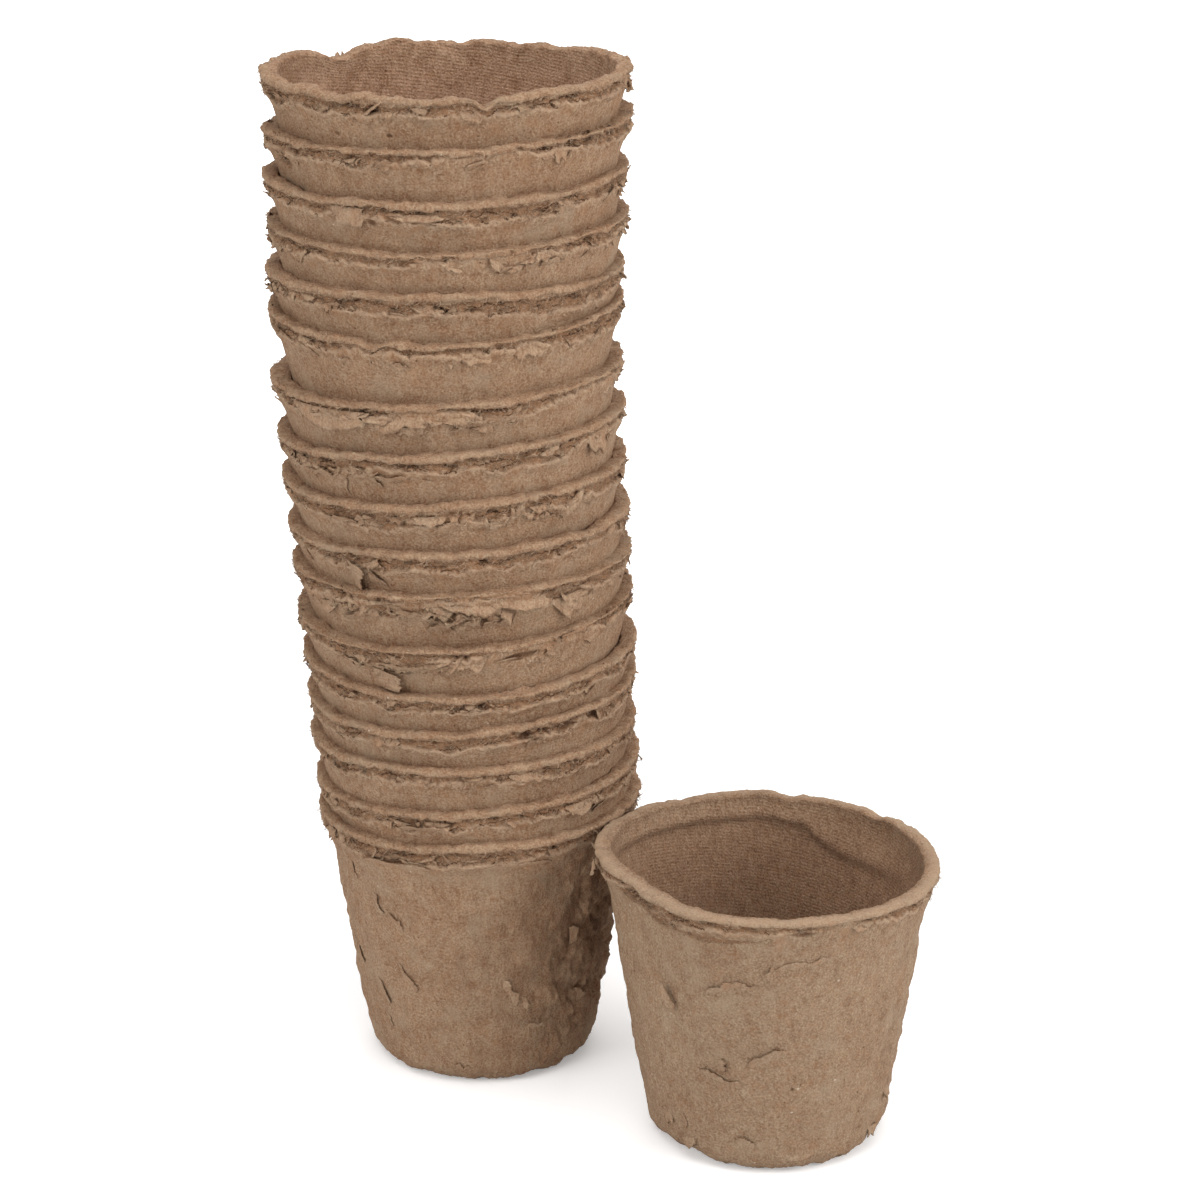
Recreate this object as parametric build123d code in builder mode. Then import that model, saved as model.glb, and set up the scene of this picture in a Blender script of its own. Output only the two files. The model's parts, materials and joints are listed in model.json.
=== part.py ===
from build123d import *
from math import atan, atan2, cos, degrees, radians, sin, tan
import os

os.makedirs("parts", exist_ok=True)

# The set: a leaning stack of nested fibre pots, and one more pot that stands beside it.
pots_in_stack = 17

# One moulded pot, all sizes in millimetres.
rim_radius = 40.0
pot_height = 66.0
base_radius = 27.3
wall = 1.4
base_thickness = 2.0
base_corner = 4.5

# The lip: the top of the wall turns outwards and ends in a thick, rounded edge.
lip_overhang = 1.3
lip_height = 4.5
lip_width = 2.2
lip_edge = 1.8
lip_round = 0.6

# Nesting: the lower a pot sits, the harder the pots above press it into the next one.
nest_gap_low = 0.32
nest_gap_high = 0.59
touch_gap = 0.12

# The lean to the left: these pots tip over further than the pot below them, or tip back again.
leaning_pots = range(2, 7)
straightening_pots = range(11, 14)

# The single pot stands to the right of the stack and in front of it.
single_gap = 0.6
single_bearing = -32.0

# The cone of the wall, and where the lip begins.
taper = atan((rim_radius - lip_overhang - base_radius) / pot_height)
lip_start = pot_height - lip_height


def outer_radius(height):
    """Radius of the outside of the wall at a height above the foot."""
    return base_radius + height * tan(taper)


def inner_radius(height):
    """Radius of the inside of the wall at a height above the foot."""
    return outer_radius(height) - wall / cos(taper)


# The corners of half a section through a pot, as radius and height.
foot_corner = (base_radius, 0)
lip_bend_outside = (outer_radius(lip_start), lip_start)
lip_under = (rim_radius, pot_height - lip_edge)
lip_outer = (rim_radius, pot_height)
lip_inner = (rim_radius - lip_width, pot_height)
lip_bend_inside = (inner_radius(lip_start), lip_start)
floor_corner = (inner_radius(base_thickness), base_thickness)


def nest_gap(number):
    """Clearance between the wall of a pot and that of the pot below it, counted from the bottom."""
    return nest_gap_low + (nest_gap_high - nest_gap_low) * (number - 2) / (pots_in_stack - 2)


def nest_step(number):
    """How much higher a pot sits than the pot below it."""
    return (wall + nest_gap(number)) / sin(taper)


def nested_zone(number):
    """The lowest and highest point of a pot's wall that lie inside the wall of the pot below."""
    return base_corner, lip_start - nest_step(number)


def tip_angle(number):
    """How far a pot tips against the pot below it, taking up the clearance between their walls."""
    low, high = nested_zone(number)
    tip = degrees(atan2(nest_gap(number) - touch_gap, (high - low) / 2))
    if number in leaning_pots:
        return tip
    if number in straightening_pots:
        return -tip
    return 0.0


def nested_seat(below, number):
    """The plane of a pot's foot, when the pot is nested in the one whose foot is on the plane below."""
    middle = sum(nested_zone(number)) / 2
    pivot = middle + outer_radius(middle) * tan(taper)
    raised = below.offset(nest_step(number) + pivot)
    return raised.rotated((0, -tip_angle(number), 0)).offset(-pivot)


def make_pot(name, seat):
    """One pot, revolved about the axis of its seat."""
    with BuildPart() as pot:
        with BuildSketch(Plane(origin=seat.origin, x_dir=seat.x_dir, z_dir=-seat.y_dir)) as section:
            with BuildLine():
                Polyline(
                    (0, 0),
                    foot_corner,
                    lip_bend_outside,
                    lip_under,
                    lip_outer,
                    lip_inner,
                    lip_bend_inside,
                    floor_corner,
                    (0, base_thickness),
                    close=True,
                )
            make_face()
            fillet(section.vertices().sort_by_distance(foot_corner)[0], radius=base_corner)
            fillet(section.vertices().sort_by_distance(floor_corner)[0], radius=base_corner - wall)
            fillet(section.vertices().sort_by_distance(lip_bend_outside)[0], radius=lip_height / 2)
            for corner in (lip_under, lip_outer, lip_inner):
                fillet(section.vertices().sort_by_distance(corner)[0], radius=lip_round)
        revolve(axis=Axis(seat.origin, seat.z_dir))
    pot.part.label = name
    export_step(pot.part, f"parts/{name}.step")
    return pot.part


# The stack, from the pot on the floor upwards.
seats = [Plane.XY]
for number in range(2, pots_in_stack + 1):
    seats.append(nested_seat(seats[-1], number))
for number, seat in enumerate(seats, start=1):
    make_pot(f"stack_pot_{number:02d}", seat)

# The single pot, whose lip nearly meets the lip of the lowest pot in the stack.
single_reach = 2 * rim_radius + single_gap
single_x = single_reach * cos(radians(single_bearing))
single_y = single_reach * sin(radians(single_bearing))
make_pot("single_pot", Plane(origin=(single_x, single_y, 0)))
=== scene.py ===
"""Looks of a set of moulded peat pots: a leaning nested stack, and one pot that stands beside it."""

import json
import logging
import math
from dataclasses import dataclass
from enum import Enum
from typing import Any, ClassVar, Sequence

import bpy
import numpy as np
from mathutils import Matrix, Vector


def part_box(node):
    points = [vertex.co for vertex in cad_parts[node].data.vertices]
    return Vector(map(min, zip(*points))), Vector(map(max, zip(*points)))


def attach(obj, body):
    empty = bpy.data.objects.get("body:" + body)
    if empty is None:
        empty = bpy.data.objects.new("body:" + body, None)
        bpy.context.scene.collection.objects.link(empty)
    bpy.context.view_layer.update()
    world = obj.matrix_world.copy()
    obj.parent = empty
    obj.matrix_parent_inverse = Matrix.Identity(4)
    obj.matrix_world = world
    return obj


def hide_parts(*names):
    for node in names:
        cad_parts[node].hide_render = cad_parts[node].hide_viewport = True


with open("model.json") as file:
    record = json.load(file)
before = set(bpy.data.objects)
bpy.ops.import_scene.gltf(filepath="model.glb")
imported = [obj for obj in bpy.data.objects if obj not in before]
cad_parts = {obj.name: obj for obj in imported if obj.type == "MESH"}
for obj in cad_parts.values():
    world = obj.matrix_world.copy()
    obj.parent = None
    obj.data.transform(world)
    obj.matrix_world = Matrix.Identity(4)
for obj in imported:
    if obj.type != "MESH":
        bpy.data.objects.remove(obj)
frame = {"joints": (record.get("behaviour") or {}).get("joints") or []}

LOG = logging.getLogger("peat_pots")
MM = 0.001
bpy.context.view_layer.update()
# Mean radius of a pot's wall and thickness of a thin flake of its skin, in millimetres.
WALL_RADIUS = 33.0
THIN_SKIN = 0.22
Colour = tuple[float, float, float]
Point = tuple[float, float]


class Zone(Enum):
    """Which stretch of a pot's section a row of its mesh belongs to."""

    FLOOR = 0
    INNER_WALL = 1
    LIP = 2
    TORN = 3
    OUTER_WALL = 4
    FOOT = 5


class Show(Enum):
    """How much of a pot can be seen while the set is at rest, which decides where its mesh is fine."""

    NESTED = "only its lip and the band below it"
    TOP = "its lip, the band below it and its inside"
    BOTTOM = "its whole outside"
    SINGLE = "its whole outside and inside"


@dataclass(frozen=True)
class PotSize:
    """Sizes of one moulded pot, in metres, as in the solids.

    Args:
        rim_radius: Radius over the lip.
        height: Height from the foot to the top of the lip.
        base_radius: Radius of the wall carried down to the floor.
        wall: Thickness of the wall.
        floor: Thickness of the floor.
        corner: Radius of the round foot.
        inner_corner: Radius between the floor and the inside of the wall.
        overhang: How far the lip stands out from the wall.
        lip_tall: Half the thickness of the lip.
        neck: How far below the top the wall swells most, by neck_proud.
        band: How far below the top the torn band may reach; the wall swells by band_proud there.
        view: How far below the top a nested pot is seen; the wall swells by view_proud there.
        plain: How far below the top the swelling ends.
        collar: How far below the top the inside of the lip begins.
    """

    rim_radius: float
    height: float
    base_radius: float = 27.3 * MM
    wall: float = 1.4 * MM
    floor: float = 2.0 * MM
    corner: float = 6.3 * MM
    inner_corner: float = 3.1 * MM
    overhang: float = 1.3 * MM
    lip_tall: float = 0.7 * MM
    neck: float = 2.8 * MM
    neck_proud: float = 1.15 * MM
    band: float = 8.0 * MM
    band_proud: float = 0.25 * MM
    view: float = 13.0 * MM
    view_proud: float = -0.15 * MM
    plain: float = 22.0 * MM
    collar: float = 6.0 * MM

    @classmethod
    def from_frame(cls, node: str) -> "PotSize":
        """Reads the rim and the height of an upright pot from its solid."""
        low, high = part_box(node)
        return cls(rim_radius=(high.x - low.x) / 2, height=high.z - low.z)

    @property
    def slope(self) -> float:
        """Radius gained for each metre of height."""
        return (self.rim_radius - self.overhang - self.base_radius) / self.height

    @property
    def taper(self) -> float:
        """Angle of the wall from the vertical, in radians."""
        return math.atan(self.slope)

    def outer(self, z: Any) -> Any:
        """Radius of the outside of the wall at a height, or at each of many heights."""
        return self.base_radius + z * self.slope

    def skin(self, z: Any) -> Any:
        """Radius of the outside at one or many heights, with the swelling near the lip and the round foot."""
        below = np.array((self.plain, self.view, self.band, self.neck))
        proud = (0.0, self.view_proud, self.band_proud, self.neck_proud)
        share = np.clip(1.0 - z / self.corner, 0.0, 1.0)
        rounded = self.corner * (1.0 - np.sqrt(1.0 - share**2))
        return self.outer(z) + np.interp(z, self.height - below, proud) - rounded

    def inner(self, z: float) -> float:
        """Radius of the inside of the wall at a height."""
        return self.outer(z) - self.wall / math.cos(self.taper)


@dataclass(frozen=True)
class Seat:
    """Where a pot stands: the middle of its foot and the way its axis points."""

    foot: Vector
    axis: Vector

    @classmethod
    def from_frame(cls, node: str, size: PotSize) -> "Seat":
        """Finds a pot's seat from its solid and from the joint that lifts it.

        Args:
            node: Name of the CAD node, which is also the name of its body.
            size: Sizes of the pot.

        Returns:
            The seat, in the frame.
        """
        axes = [j["axis"] for j in frame["joints"] if j["child"] == node]
        axis = Vector(axes[0]).normalized() if axes else Vector((0, 0, 1))
        low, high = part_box(node)
        rim_middle = Vector(((low.x + high.x) / 2, (low.y + high.y) / 2, 0))
        rim_middle.z = high.z - (size.rim_radius - size.lip_tall) * math.hypot(axis.x, axis.y)
        return cls(foot=rim_middle - axis * size.height, axis=axis)

    def matrix(self) -> Matrix:
        """Turns and moves an upright pot at the origin onto this seat."""
        turn = Vector((0, 0, 1)).rotation_difference(self.axis).to_matrix().to_4x4()
        return Matrix.Translation(self.foot) @ turn


class Value:
    """A number in a node tree. Arithmetic on it adds Math nodes to the tree."""

    def __init__(self, maker: "NodeMaker", socket: bpy.types.NodeSocket) -> None:
        """Wraps an output socket of the tree that maker builds."""
        self.maker = maker
        self.socket = socket

    def _math(self, operation: str, first: Any, second: Any = 0.0) -> "Value":
        """Adds one Math node."""
        node = self.maker.add("ShaderNodeMath", {0: first, 1: second}, operation=operation)
        return Value(self.maker, node.outputs[0])

    def __add__(self, other: Any) -> "Value":
        """Sum of two values."""
        return self._math("ADD", self, other)

    def __sub__(self, other: Any) -> "Value":
        """Difference of two values."""
        return self._math("SUBTRACT", self, other)

    def __rsub__(self, other: Any) -> "Value":
        """A plain number less a value."""
        return self._math("SUBTRACT", other, self)

    def __mul__(self, other: Any) -> "Value":
        """Product of two values."""
        return self._math("MULTIPLY", self, other)

    def sine(self) -> "Value":
        """Sine of the value, in radians."""
        return self._math("SINE", self)

    def absolute(self) -> "Value":
        """The value without its sign."""
        return self._math("ABSOLUTE", self)

    def clamped(self, low: float, high: float) -> "Value":
        """The value, held between two limits."""
        return self._math("MINIMUM", self._math("MAXIMUM", self, low), high)

    def step(self, low: Any, high: Any) -> "Value":
        """Rises smoothly from 0 at low to 1 at high."""
        inputs = {"Value": self, "From Min": low, "From Max": high}
        node = self.maker.add("ShaderNodeMapRange", inputs, interpolation_type="SMOOTHSTEP")
        return Value(self.maker, node.outputs[0])


def in_use(sockets: Any, name: str) -> bpy.types.NodeSocket:
    """The socket with a name that the node's settings leave in use."""
    return next(s for s in sockets if s.name == name and s.enabled)


class NodeMaker:
    """Adds nodes and their links to a node tree."""

    def __init__(self, tree: bpy.types.NodeTree) -> None:
        """Takes the tree that the nodes go into."""
        self.tree = tree

    def add(self, kind: str, inputs: dict[Any, Any], **settings: Any) -> bpy.types.Node:
        """Adds a node, sets it up and fills its inputs.

        Args:
            kind: Type of the node.
            inputs: Socket name or number to a Value, a socket or a plain value.
            **settings: Properties of the node, set before its inputs.

        Returns:
            The node.
        """
        node = self.tree.nodes.new(kind)
        for key, value in settings.items():
            setattr(node, key, value)
        for key, value in inputs.items():
            socket = node.inputs[key] if isinstance(key, int) else in_use(node.inputs, key)
            source = value.socket if isinstance(value, Value) else value
            if isinstance(source, bpy.types.NodeSocket):
                self.tree.links.new(source, socket)
            else:
                socket.default_value = source
        return node

    def vector(
        self, operation: str, first: Any, second: Any = None, scale: Any = None
    ) -> bpy.types.NodeSocket:
        """Adds a Vector Math node and returns its vector."""
        given = {0: first, 1: second, "Scale": scale}
        inputs = {key: value for key, value in given.items() if value is not None}
        return self.add("ShaderNodeVectorMath", inputs, operation=operation).outputs[0]

    def noise(
        self, where: bpy.types.NodeSocket, grain: float, seed: Any, detail: float, rough: float
    ) -> Value:
        """Noise about zero, mostly between -0.25 and 0.25.

        Args:
            where: Vector socket with the place, in metres.
            grain: Length of one swell of the noise, in metres.
            seed: Which noise it is.
            detail: Number of finer layers.
            rough: How much each finer layer adds.

        Returns:
            The noise.
        """
        inputs = {"Vector": where, "W": seed, "Scale": 1 / grain, "Detail": detail, "Roughness": rough}
        node = self.add("ShaderNodeTexNoise", inputs, noise_dimensions="4D")
        return Value(self, node.outputs["Fac"]) - 0.5


class TreeMaker(NodeMaker):
    """Builds a Geometry Nodes tree with named inputs and runs it on meshes."""

    def __init__(self, name: str) -> None:
        """Starts an empty tree with a geometry input and a geometry output."""
        super().__init__(bpy.data.node_groups.new(name, "GeometryNodeTree"))
        self.tree.is_modifier = True
        self.identifiers: dict[str, str] = {}
        self.source = self.tree.nodes.new("NodeGroupInput")
        self.geometry = self.input("Geometry", "NodeSocketGeometry")
        self.tree.interface.new_socket(name="Geometry", in_out="OUTPUT", socket_type="NodeSocketGeometry")
        self.target = self.tree.nodes.new("NodeGroupOutput")

    def input(self, name: str, kind: str = "NodeSocketFloat") -> bpy.types.NodeSocket:
        """Adds a named input of some socket type to the tree and returns the socket to link from."""
        item = self.tree.interface.new_socket(name=name, in_out="INPUT", socket_type=kind)
        self.identifiers[name] = item.identifier
        return next(s for s in self.source.outputs if s.identifier == item.identifier)

    def size(self, name: str) -> Value:
        """Adds a named number to the tree's inputs."""
        return Value(self, self.input(name))

    def attribute(self, name: str) -> Value:
        """Reads a number stored on the points."""
        node = self.add("GeometryNodeInputNamedAttribute", {"Name": name}, data_type="FLOAT")
        return Value(self, in_use(node.outputs, "Attribute"))

    def draw(self, low: float, high: float, seed: bpy.types.NodeSocket) -> Value:
        """A random number for each point."""
        node = self.add("FunctionNodeRandomValue", {"Min": low, "Max": high, "Seed": seed}, data_type="FLOAT")
        return Value(self, in_use(node.outputs, "Value"))

    def store(self, geometry: bpy.types.NodeSocket, name: str, value: Any) -> bpy.types.NodeSocket:
        """Stores a number on the points under a name and returns the geometry."""
        inputs = {"Geometry": geometry, "Name": name, "Value": value}
        return self.add("GeometryNodeStoreNamedAttribute", inputs).outputs["Geometry"]

    def finish(self, geometry: bpy.types.NodeSocket, material: bpy.types.NodeSocket) -> None:
        """Ends the tree: instances become real, and everything gets its material."""
        real = self.add("GeometryNodeRealizeInstances", {"Geometry": geometry})
        dressed = self.add("GeometryNodeSetMaterial", {"Geometry": real.outputs[0], "Material": material})
        self.tree.links.new(dressed.outputs[0], self.target.inputs[0])

    def apply(self, mesh: bpy.types.Mesh, settings: dict[str, Any]) -> bpy.types.Mesh:
        """Runs the tree on a mesh.

        Args:
            mesh: The tree's geometry input, which is used up.
            settings: Name of each of the tree's inputs to its value.

        Returns:
            The result as a plain mesh.
        """
        carrier = bpy.data.objects.new(mesh.name, mesh)
        bpy.context.scene.collection.objects.link(carrier)
        modifier = carrier.modifiers.new(self.tree.name, "NODES")
        modifier.node_group = self.tree
        for name, value in settings.items():
            modifier[self.identifiers[name]] = value
        depsgraph = bpy.context.evaluated_depsgraph_get()
        result = bpy.data.meshes.new_from_object(carrier.evaluated_get(depsgraph))
        carrier.modifiers.remove(modifier)
        bpy.data.objects.remove(carrier)
        bpy.data.meshes.remove(mesh)
        return result


class ShellTree(TreeMaker):
    """Turns a pot's section into its shell of pulp: lumps, grain, a wavy lip and the torn band under it."""

    def __init__(self, pivot: float) -> None:
        """Builds the tree.

        Args:
            pivot: Radius of the ring that the section is swept along, in metres.
        """
        super().__init__("moulded_shell")
        segments = self.input("Segments", "NodeSocketInt")
        material = self.input("Material", "NodeSocketMaterial")
        seed = self.size("Seed")
        lathe = self._lathe(segments, pivot)
        place = self.add("GeometryNodeInputPosition", {}).outputs[0]
        split = self.add("ShaderNodeSeparateXYZ", {0: place})
        ring = self.add("ShaderNodeCombineXYZ", {"X": split.outputs[0], "Y": split.outputs[1]}).outputs[0]
        drop = self.attribute("drop")
        outside = 1.0 - self.attribute("inside")
        torn, curl, deep, edge = self._torn_band(place, ring, seed, drop, outside)
        frayed = self.noise(place, 2.6 * MM, seed + 12.0, 4.0, 0.65) * (1.0 - drop.step(3 * MM, 5 * MM))
        relief = self._relief(place, seed) + frayed * self.size("Lip Fray")
        near_rim = 1.0 - drop.step(0.0, 16 * MM)
        swell = self.noise(ring, 26 * MM, seed + 1.7, 2.0, 0.5)
        swell = swell + self.noise(ring, 7 * MM, seed + 8.1, 2.0, 0.6) * 0.5
        wave = swell * self.size("Lip Wave") * near_rim
        sway = self.noise(ring, 34 * MM, seed + 5.3, 1.0, 0.5) * self.size("Lip Sway") * near_rim
        normal = self.add("GeometryNodeInputNormal", {}).outputs[0]
        proud = self.vector("SCALE", normal, scale=relief + curl - deep * self.size("Torn Depth"))
        swayed = self.vector("SCALE", self.vector("NORMALIZE", ring), scale=sway)
        lifted = self.add("ShaderNodeCombineXYZ", {"Z": wave}).outputs[0]
        offset = self.vector("ADD", self.vector("ADD", proud, swayed), lifted)
        shell = lathe
        for name, value in (("torn", torn), ("deep", deep), ("edge", edge)):
            shell = self.store(shell, name, value)
        moved = self.add("GeometryNodeSetPosition", {"Geometry": shell, "Offset": offset})
        rounded = self.add("GeometryNodeSetShadeSmooth", {"Geometry": moved.outputs[0]})
        self.finish(rounded.outputs[0], material)

    def _lathe(self, segments: bpy.types.NodeSocket, pivot: float) -> bpy.types.NodeSocket:
        """Sweeps the section round a ring and closes the poles."""
        section = self.add("GeometryNodeMeshToCurve", {0: self.geometry})
        ring = self.add("GeometryNodeCurvePrimitiveCircle", {"Resolution": segments, "Radius": pivot})
        curves = {"Curve": ring.outputs[0], "Profile Curve": section.outputs[0]}
        swept = self.add("GeometryNodeCurveToMesh", curves)
        poles = {"Geometry": swept.outputs[0], "Distance": 0.001 * MM}
        return self.add("GeometryNodeMergeByDistance", poles).outputs[0]

    def _torn_band(
        self,
        place: bpy.types.NodeSocket,
        ring: bpy.types.NodeSocket,
        seed: Value,
        drop: Value,
        outside: Value,
    ) -> tuple[Value, Value, Value, Value]:
        """The band under the lip where the skin has torn away from the core.

        Args:
            place: Socket with each point's place.
            ring: Socket with each point's place on the pot's plan.
            seed: Seed of the pot.
            drop: Distance below the top of the lip, over the surface.
            outside: 1 on the outside of the pot, 0 inside.

        Returns:
            How torn each point is, how far its skin curls out, how deep the tear is as a share, and 1 on the
            edge that the skin ends in below the tear.
        """
        start = self.size("Lip Drop") + self.noise(ring, 9 * MM, seed + 11.0, 5.0, 0.7) * (4 * MM)
        jag = self.noise(ring, 6 * MM, seed + 3.1, 6.0, 0.75)
        patch = self.noise(ring, 28 * MM, seed + 8.4, 1.0, 0.5)
        reach = (jag * 2.8 + patch * 2.6 + self.size("Torn Share")).clamped(0.0, 1.8)
        width = self.size("Torn Width") * reach
        edge = start + width
        open_above = drop.step(start, start + 0.3 * MM)
        closed_below = 1.0 - drop.step(edge - 0.15 * MM, edge + 0.15 * MM)
        torn = open_above * closed_below * outside
        fibrous = self.noise(place, 1.5 * MM, seed + 2.2, 4.0, 0.65)
        level = self.vector("MULTIPLY", place, (0.5, 0.5, 1.0))
        pocket = self.noise(level, 1.7 * MM, seed + 6.2, 2.0, 0.5).step(0.06, 0.16)
        pocket = pocket * (1.0 - drop.step(start + 1.6 * MM, start + 3.6 * MM))
        upper = start + width * 0.3 + self.noise(ring, 4 * MM, seed + 20, 4.0, 0.7) * (2 * MM)
        lower = start + width * 0.65 + self.noise(ring, 5 * MM, seed + 21, 4.0, 0.7) * (2 * MM)
        step = 0.14 * MM
        layers = 2.0 - drop.step(upper - step, upper + step) - drop.step(lower - step, lower + step)
        deep = torn * (layers * 0.3 + fibrous * 1.5 + pocket * 1.4 + 0.1).clamped(0.0, 2.0)
        below = drop - edge
        lifted = (self.noise(ring, 8 * MM, seed + 6.6, 2.0, 0.5) * 3.0 + 0.45).clamped(0.0, 1.3)
        curl = below.step(-0.2 * MM, 0.1 * MM) * (1.0 - below.step(0.0, 3.2 * MM)) * reach.clamped(0.0, 0.6)
        curl = curl * lifted * outside * self.size("Skin Curl")
        rim = below.step(-0.25 * MM, 0.0) * (1.0 - below.step(0.25 * MM, 0.9 * MM)) * outside
        return torn, curl, deep, rim * reach.step(0.15, 0.4)

    def _relief(self, place: bpy.types.NodeSocket, seed: Value) -> Value:
        """Lumps and vertical grain of the pulp, and the ragged foot."""
        upright = self.vector("MULTIPLY", place, (1.0, 1.0, 0.7))
        lumps = self.noise(place, 12 * MM, seed + 4.0, 2.0, 0.5)
        lumps = lumps + self.noise(upright, 4.5 * MM, seed + 5.0, 2.0, 0.6) * 0.75
        grain = self.noise(upright, 1.7 * MM, seed + 9.0, 2.0, 0.6)
        ragged = self.noise(place, 3.6 * MM, seed + 7.0, 3.0, 0.6) * self.size("Foot Ragged")
        skin = lumps * self.size("Lump Height") + grain * self.size("Grain Height")
        return skin * self.attribute("free") + ragged * self.attribute("foot")


class FibreTree(TreeMaker):
    """Scatters loose fibres over the torn parts of a finished shell."""

    def __init__(self) -> None:
        """Builds the tree."""
        super().__init__("loose_fibres")
        material = self.input("Material", "NodeSocketMaterial")
        seed = self.input("Seed", "NodeSocketInt")
        drop = self.attribute("drop")
        outside = 1.0 - self.attribute("inside")
        edge = drop.step(1.6 * MM, 2.4 * MM) * (1.0 - drop.step(3 * MM, 4 * MM)) * outside
        loose = self.attribute("torn").step(0.2, 0.8) + edge * 0.5
        density = self.size("Fibres per Square Metre") * loose
        length = self.size("Fibre Length")
        radius = self.size("Fibre Radius")
        scatter = {"Mesh": self.geometry, "Density": density, "Seed": seed}
        points = self.add("GeometryNodeDistributePointsOnFaces", scatter, distribute_method="RANDOM")
        angles = self.add(
            "ShaderNodeCombineXYZ",
            {"X": self.draw(0.9, 1.5, seed), "Z": self.draw(0.0, math.tau, seed)},
        )
        local = self.add("FunctionNodeEulerToRotation", {"Euler": angles.outputs[0]})
        aim = self.add(
            "FunctionNodeRotateRotation",
            {"Rotation": points.outputs["Rotation"], "Rotate By": local.outputs[0]},
            rotation_space="LOCAL",
        )
        placed = self.add(
            "GeometryNodeInstanceOnPoints",
            {
                "Points": points.outputs["Points"],
                "Instance": self._fibre(length, radius),
                "Rotation": aim.outputs[0],
                "Scale": self.draw(0.35, 1.3, seed),
            },
        )
        joined = self.add("GeometryNodeJoinGeometry", {0: self.geometry})
        self.tree.links.new(placed.outputs[0], joined.inputs[0])
        self.finish(joined.outputs[0], material)

    def _fibre(self, length: Value, radius: Value) -> bpy.types.NodeSocket:
        """One bent, three-sided fibre that stands on the origin."""
        middle = self.add("ShaderNodeCombineXYZ", {"X": length * 0.3, "Z": length * 0.45})
        tip = self.add("ShaderNodeCombineXYZ", {"X": length * -0.15, "Y": length * 0.3, "Z": length * 0.8})
        line = self.add(
            "GeometryNodeCurveQuadraticBezier",
            {"Resolution": 2, "Start": (0, 0, 0), "Middle": middle.outputs[0], "End": tip.outputs[0]},
        )
        ring = self.add("GeometryNodeCurvePrimitiveCircle", {"Resolution": 3, "Radius": radius})
        tube = self.add(
            "GeometryNodeCurveToMesh",
            {"Curve": line.outputs[0], "Profile Curve": ring.outputs[0], "Fill Caps": True},
        )
        return self.store(tube.outputs[0], "fibre", 1.0)


class SectionPath:
    """A line of points through a pot's wall, made from straight runs and arcs."""

    def __init__(self) -> None:
        """Starts an empty line."""
        self.points: list[Point] = []
        self.zones: list[Zone] = []

    @property
    def last(self) -> Point:
        """The point that the line has reached."""
        return self.points[-1]

    def _extend(self, zone: Zone, points: Sequence[Point]) -> None:
        """Adds points, without repeating the one that the line has reached."""
        fresh = points[1:] if self.points else points
        self.points.extend(fresh)
        self.zones.extend([zone] * len(fresh))

    def line(self, zone: Zone, end: Point, gap: float) -> None:
        """Adds a straight run, with rows about gap millimetres apart."""
        start = self.last
        count = max(1, round(math.dist(start, end) / (gap * MM)))
        shares = np.linspace(0.0, 1.0, count + 1)
        run, rise = end[0] - start[0], end[1] - start[1]
        self._extend(zone, [(start[0] + run * t, start[1] + rise * t) for t in shares])

    def arc(
        self, zone: Zone, middle: Point, reach: Point, angles: Point, gap: float, flat: float = 1.0
    ) -> None:
        """Adds an arc.

        Args:
            zone: Stretch of the section that it belongs to.
            middle: Middle of the arc.
            reach: Half its width and half its height.
            angles: Where it starts and ends, in degrees.
            gap: About how far apart its rows are, in millimetres.
            flat: 1 for an ellipse, less for one with flatter sides and tighter corners.
        """
        turn = math.radians(abs(angles[1] - angles[0]))
        count = max(3, round(sum(reach) / 2 * turn / (gap * MM)))
        steps = np.radians(np.linspace(*angles, count + 1))
        beside, above = (np.sign(w) * np.abs(w) ** flat for w in (np.cos(steps), np.sin(steps)))
        points = list(zip(middle[0] + reach[0] * beside, middle[1] + reach[1] * above))
        if self.points:
            self.line(zone, points[0], gap)
        self._extend(zone, points)

    def start(self, point: Point) -> None:
        """Sets the first point of the line."""
        self._extend(Zone.FLOOR, [point])

    def mesh(self, name: str, size: PotSize, show: Show) -> bpy.types.Mesh:
        """Turns the line into a mesh of edges for the lathe.

        Args:
            name: Name of the mesh.
            size: Sizes of the pot.
            show: How much of the pot is seen.

        Returns:
            The mesh, with drop, inside, free and foot stored on its points.
        """
        line = np.array(self.points)
        top = int(np.argmax(line[:, 1]))
        travelled = np.concatenate(([0.0], np.cumsum(np.hypot(*np.diff(line, axis=0).T))))
        drop = np.abs(travelled - travelled[top])
        before_top = np.arange(len(line)) < top
        inside = np.where(before_top, smooth(drop, 0.0, 1.6 * MM), 0.0)
        hidden_out = smooth(drop, 13 * MM, 17 * MM) * (show in (Show.NESTED, Show.TOP))
        hidden_in = smooth(drop, 3 * MM, 6 * MM) * (show in (Show.NESTED, Show.BOTTOM))
        free = 1.0 - 0.85 * np.where(before_top, hidden_in, hidden_out)
        foot_rows = np.array([zone is Zone.FOOT for zone in self.zones])
        foot = smooth(line[:, 1], -1 * MM, 1 * MM) * (1.0 - smooth(line[:, 1], 1 * MM, 6 * MM)) * foot_rows
        mesh = bpy.data.meshes.new(name)
        places = [(r - size.rim_radius, -z, 0.0) for r, z in self.points]
        mesh.from_pydata(places, [(i, i + 1) for i in range(len(places) - 1)], [])
        for label, values in (("drop", drop), ("inside", inside), ("free", free), ("foot", foot)):
            write_numbers(mesh, label, values)
        return mesh


def read_numbers(mesh: bpy.types.Mesh, name: str) -> np.ndarray:
    """Reads a number that is stored on the points of a mesh."""
    values = np.empty(len(mesh.vertices), np.float32)
    mesh.attributes[name].data.foreach_get("value", values)
    return values.astype(float)


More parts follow.
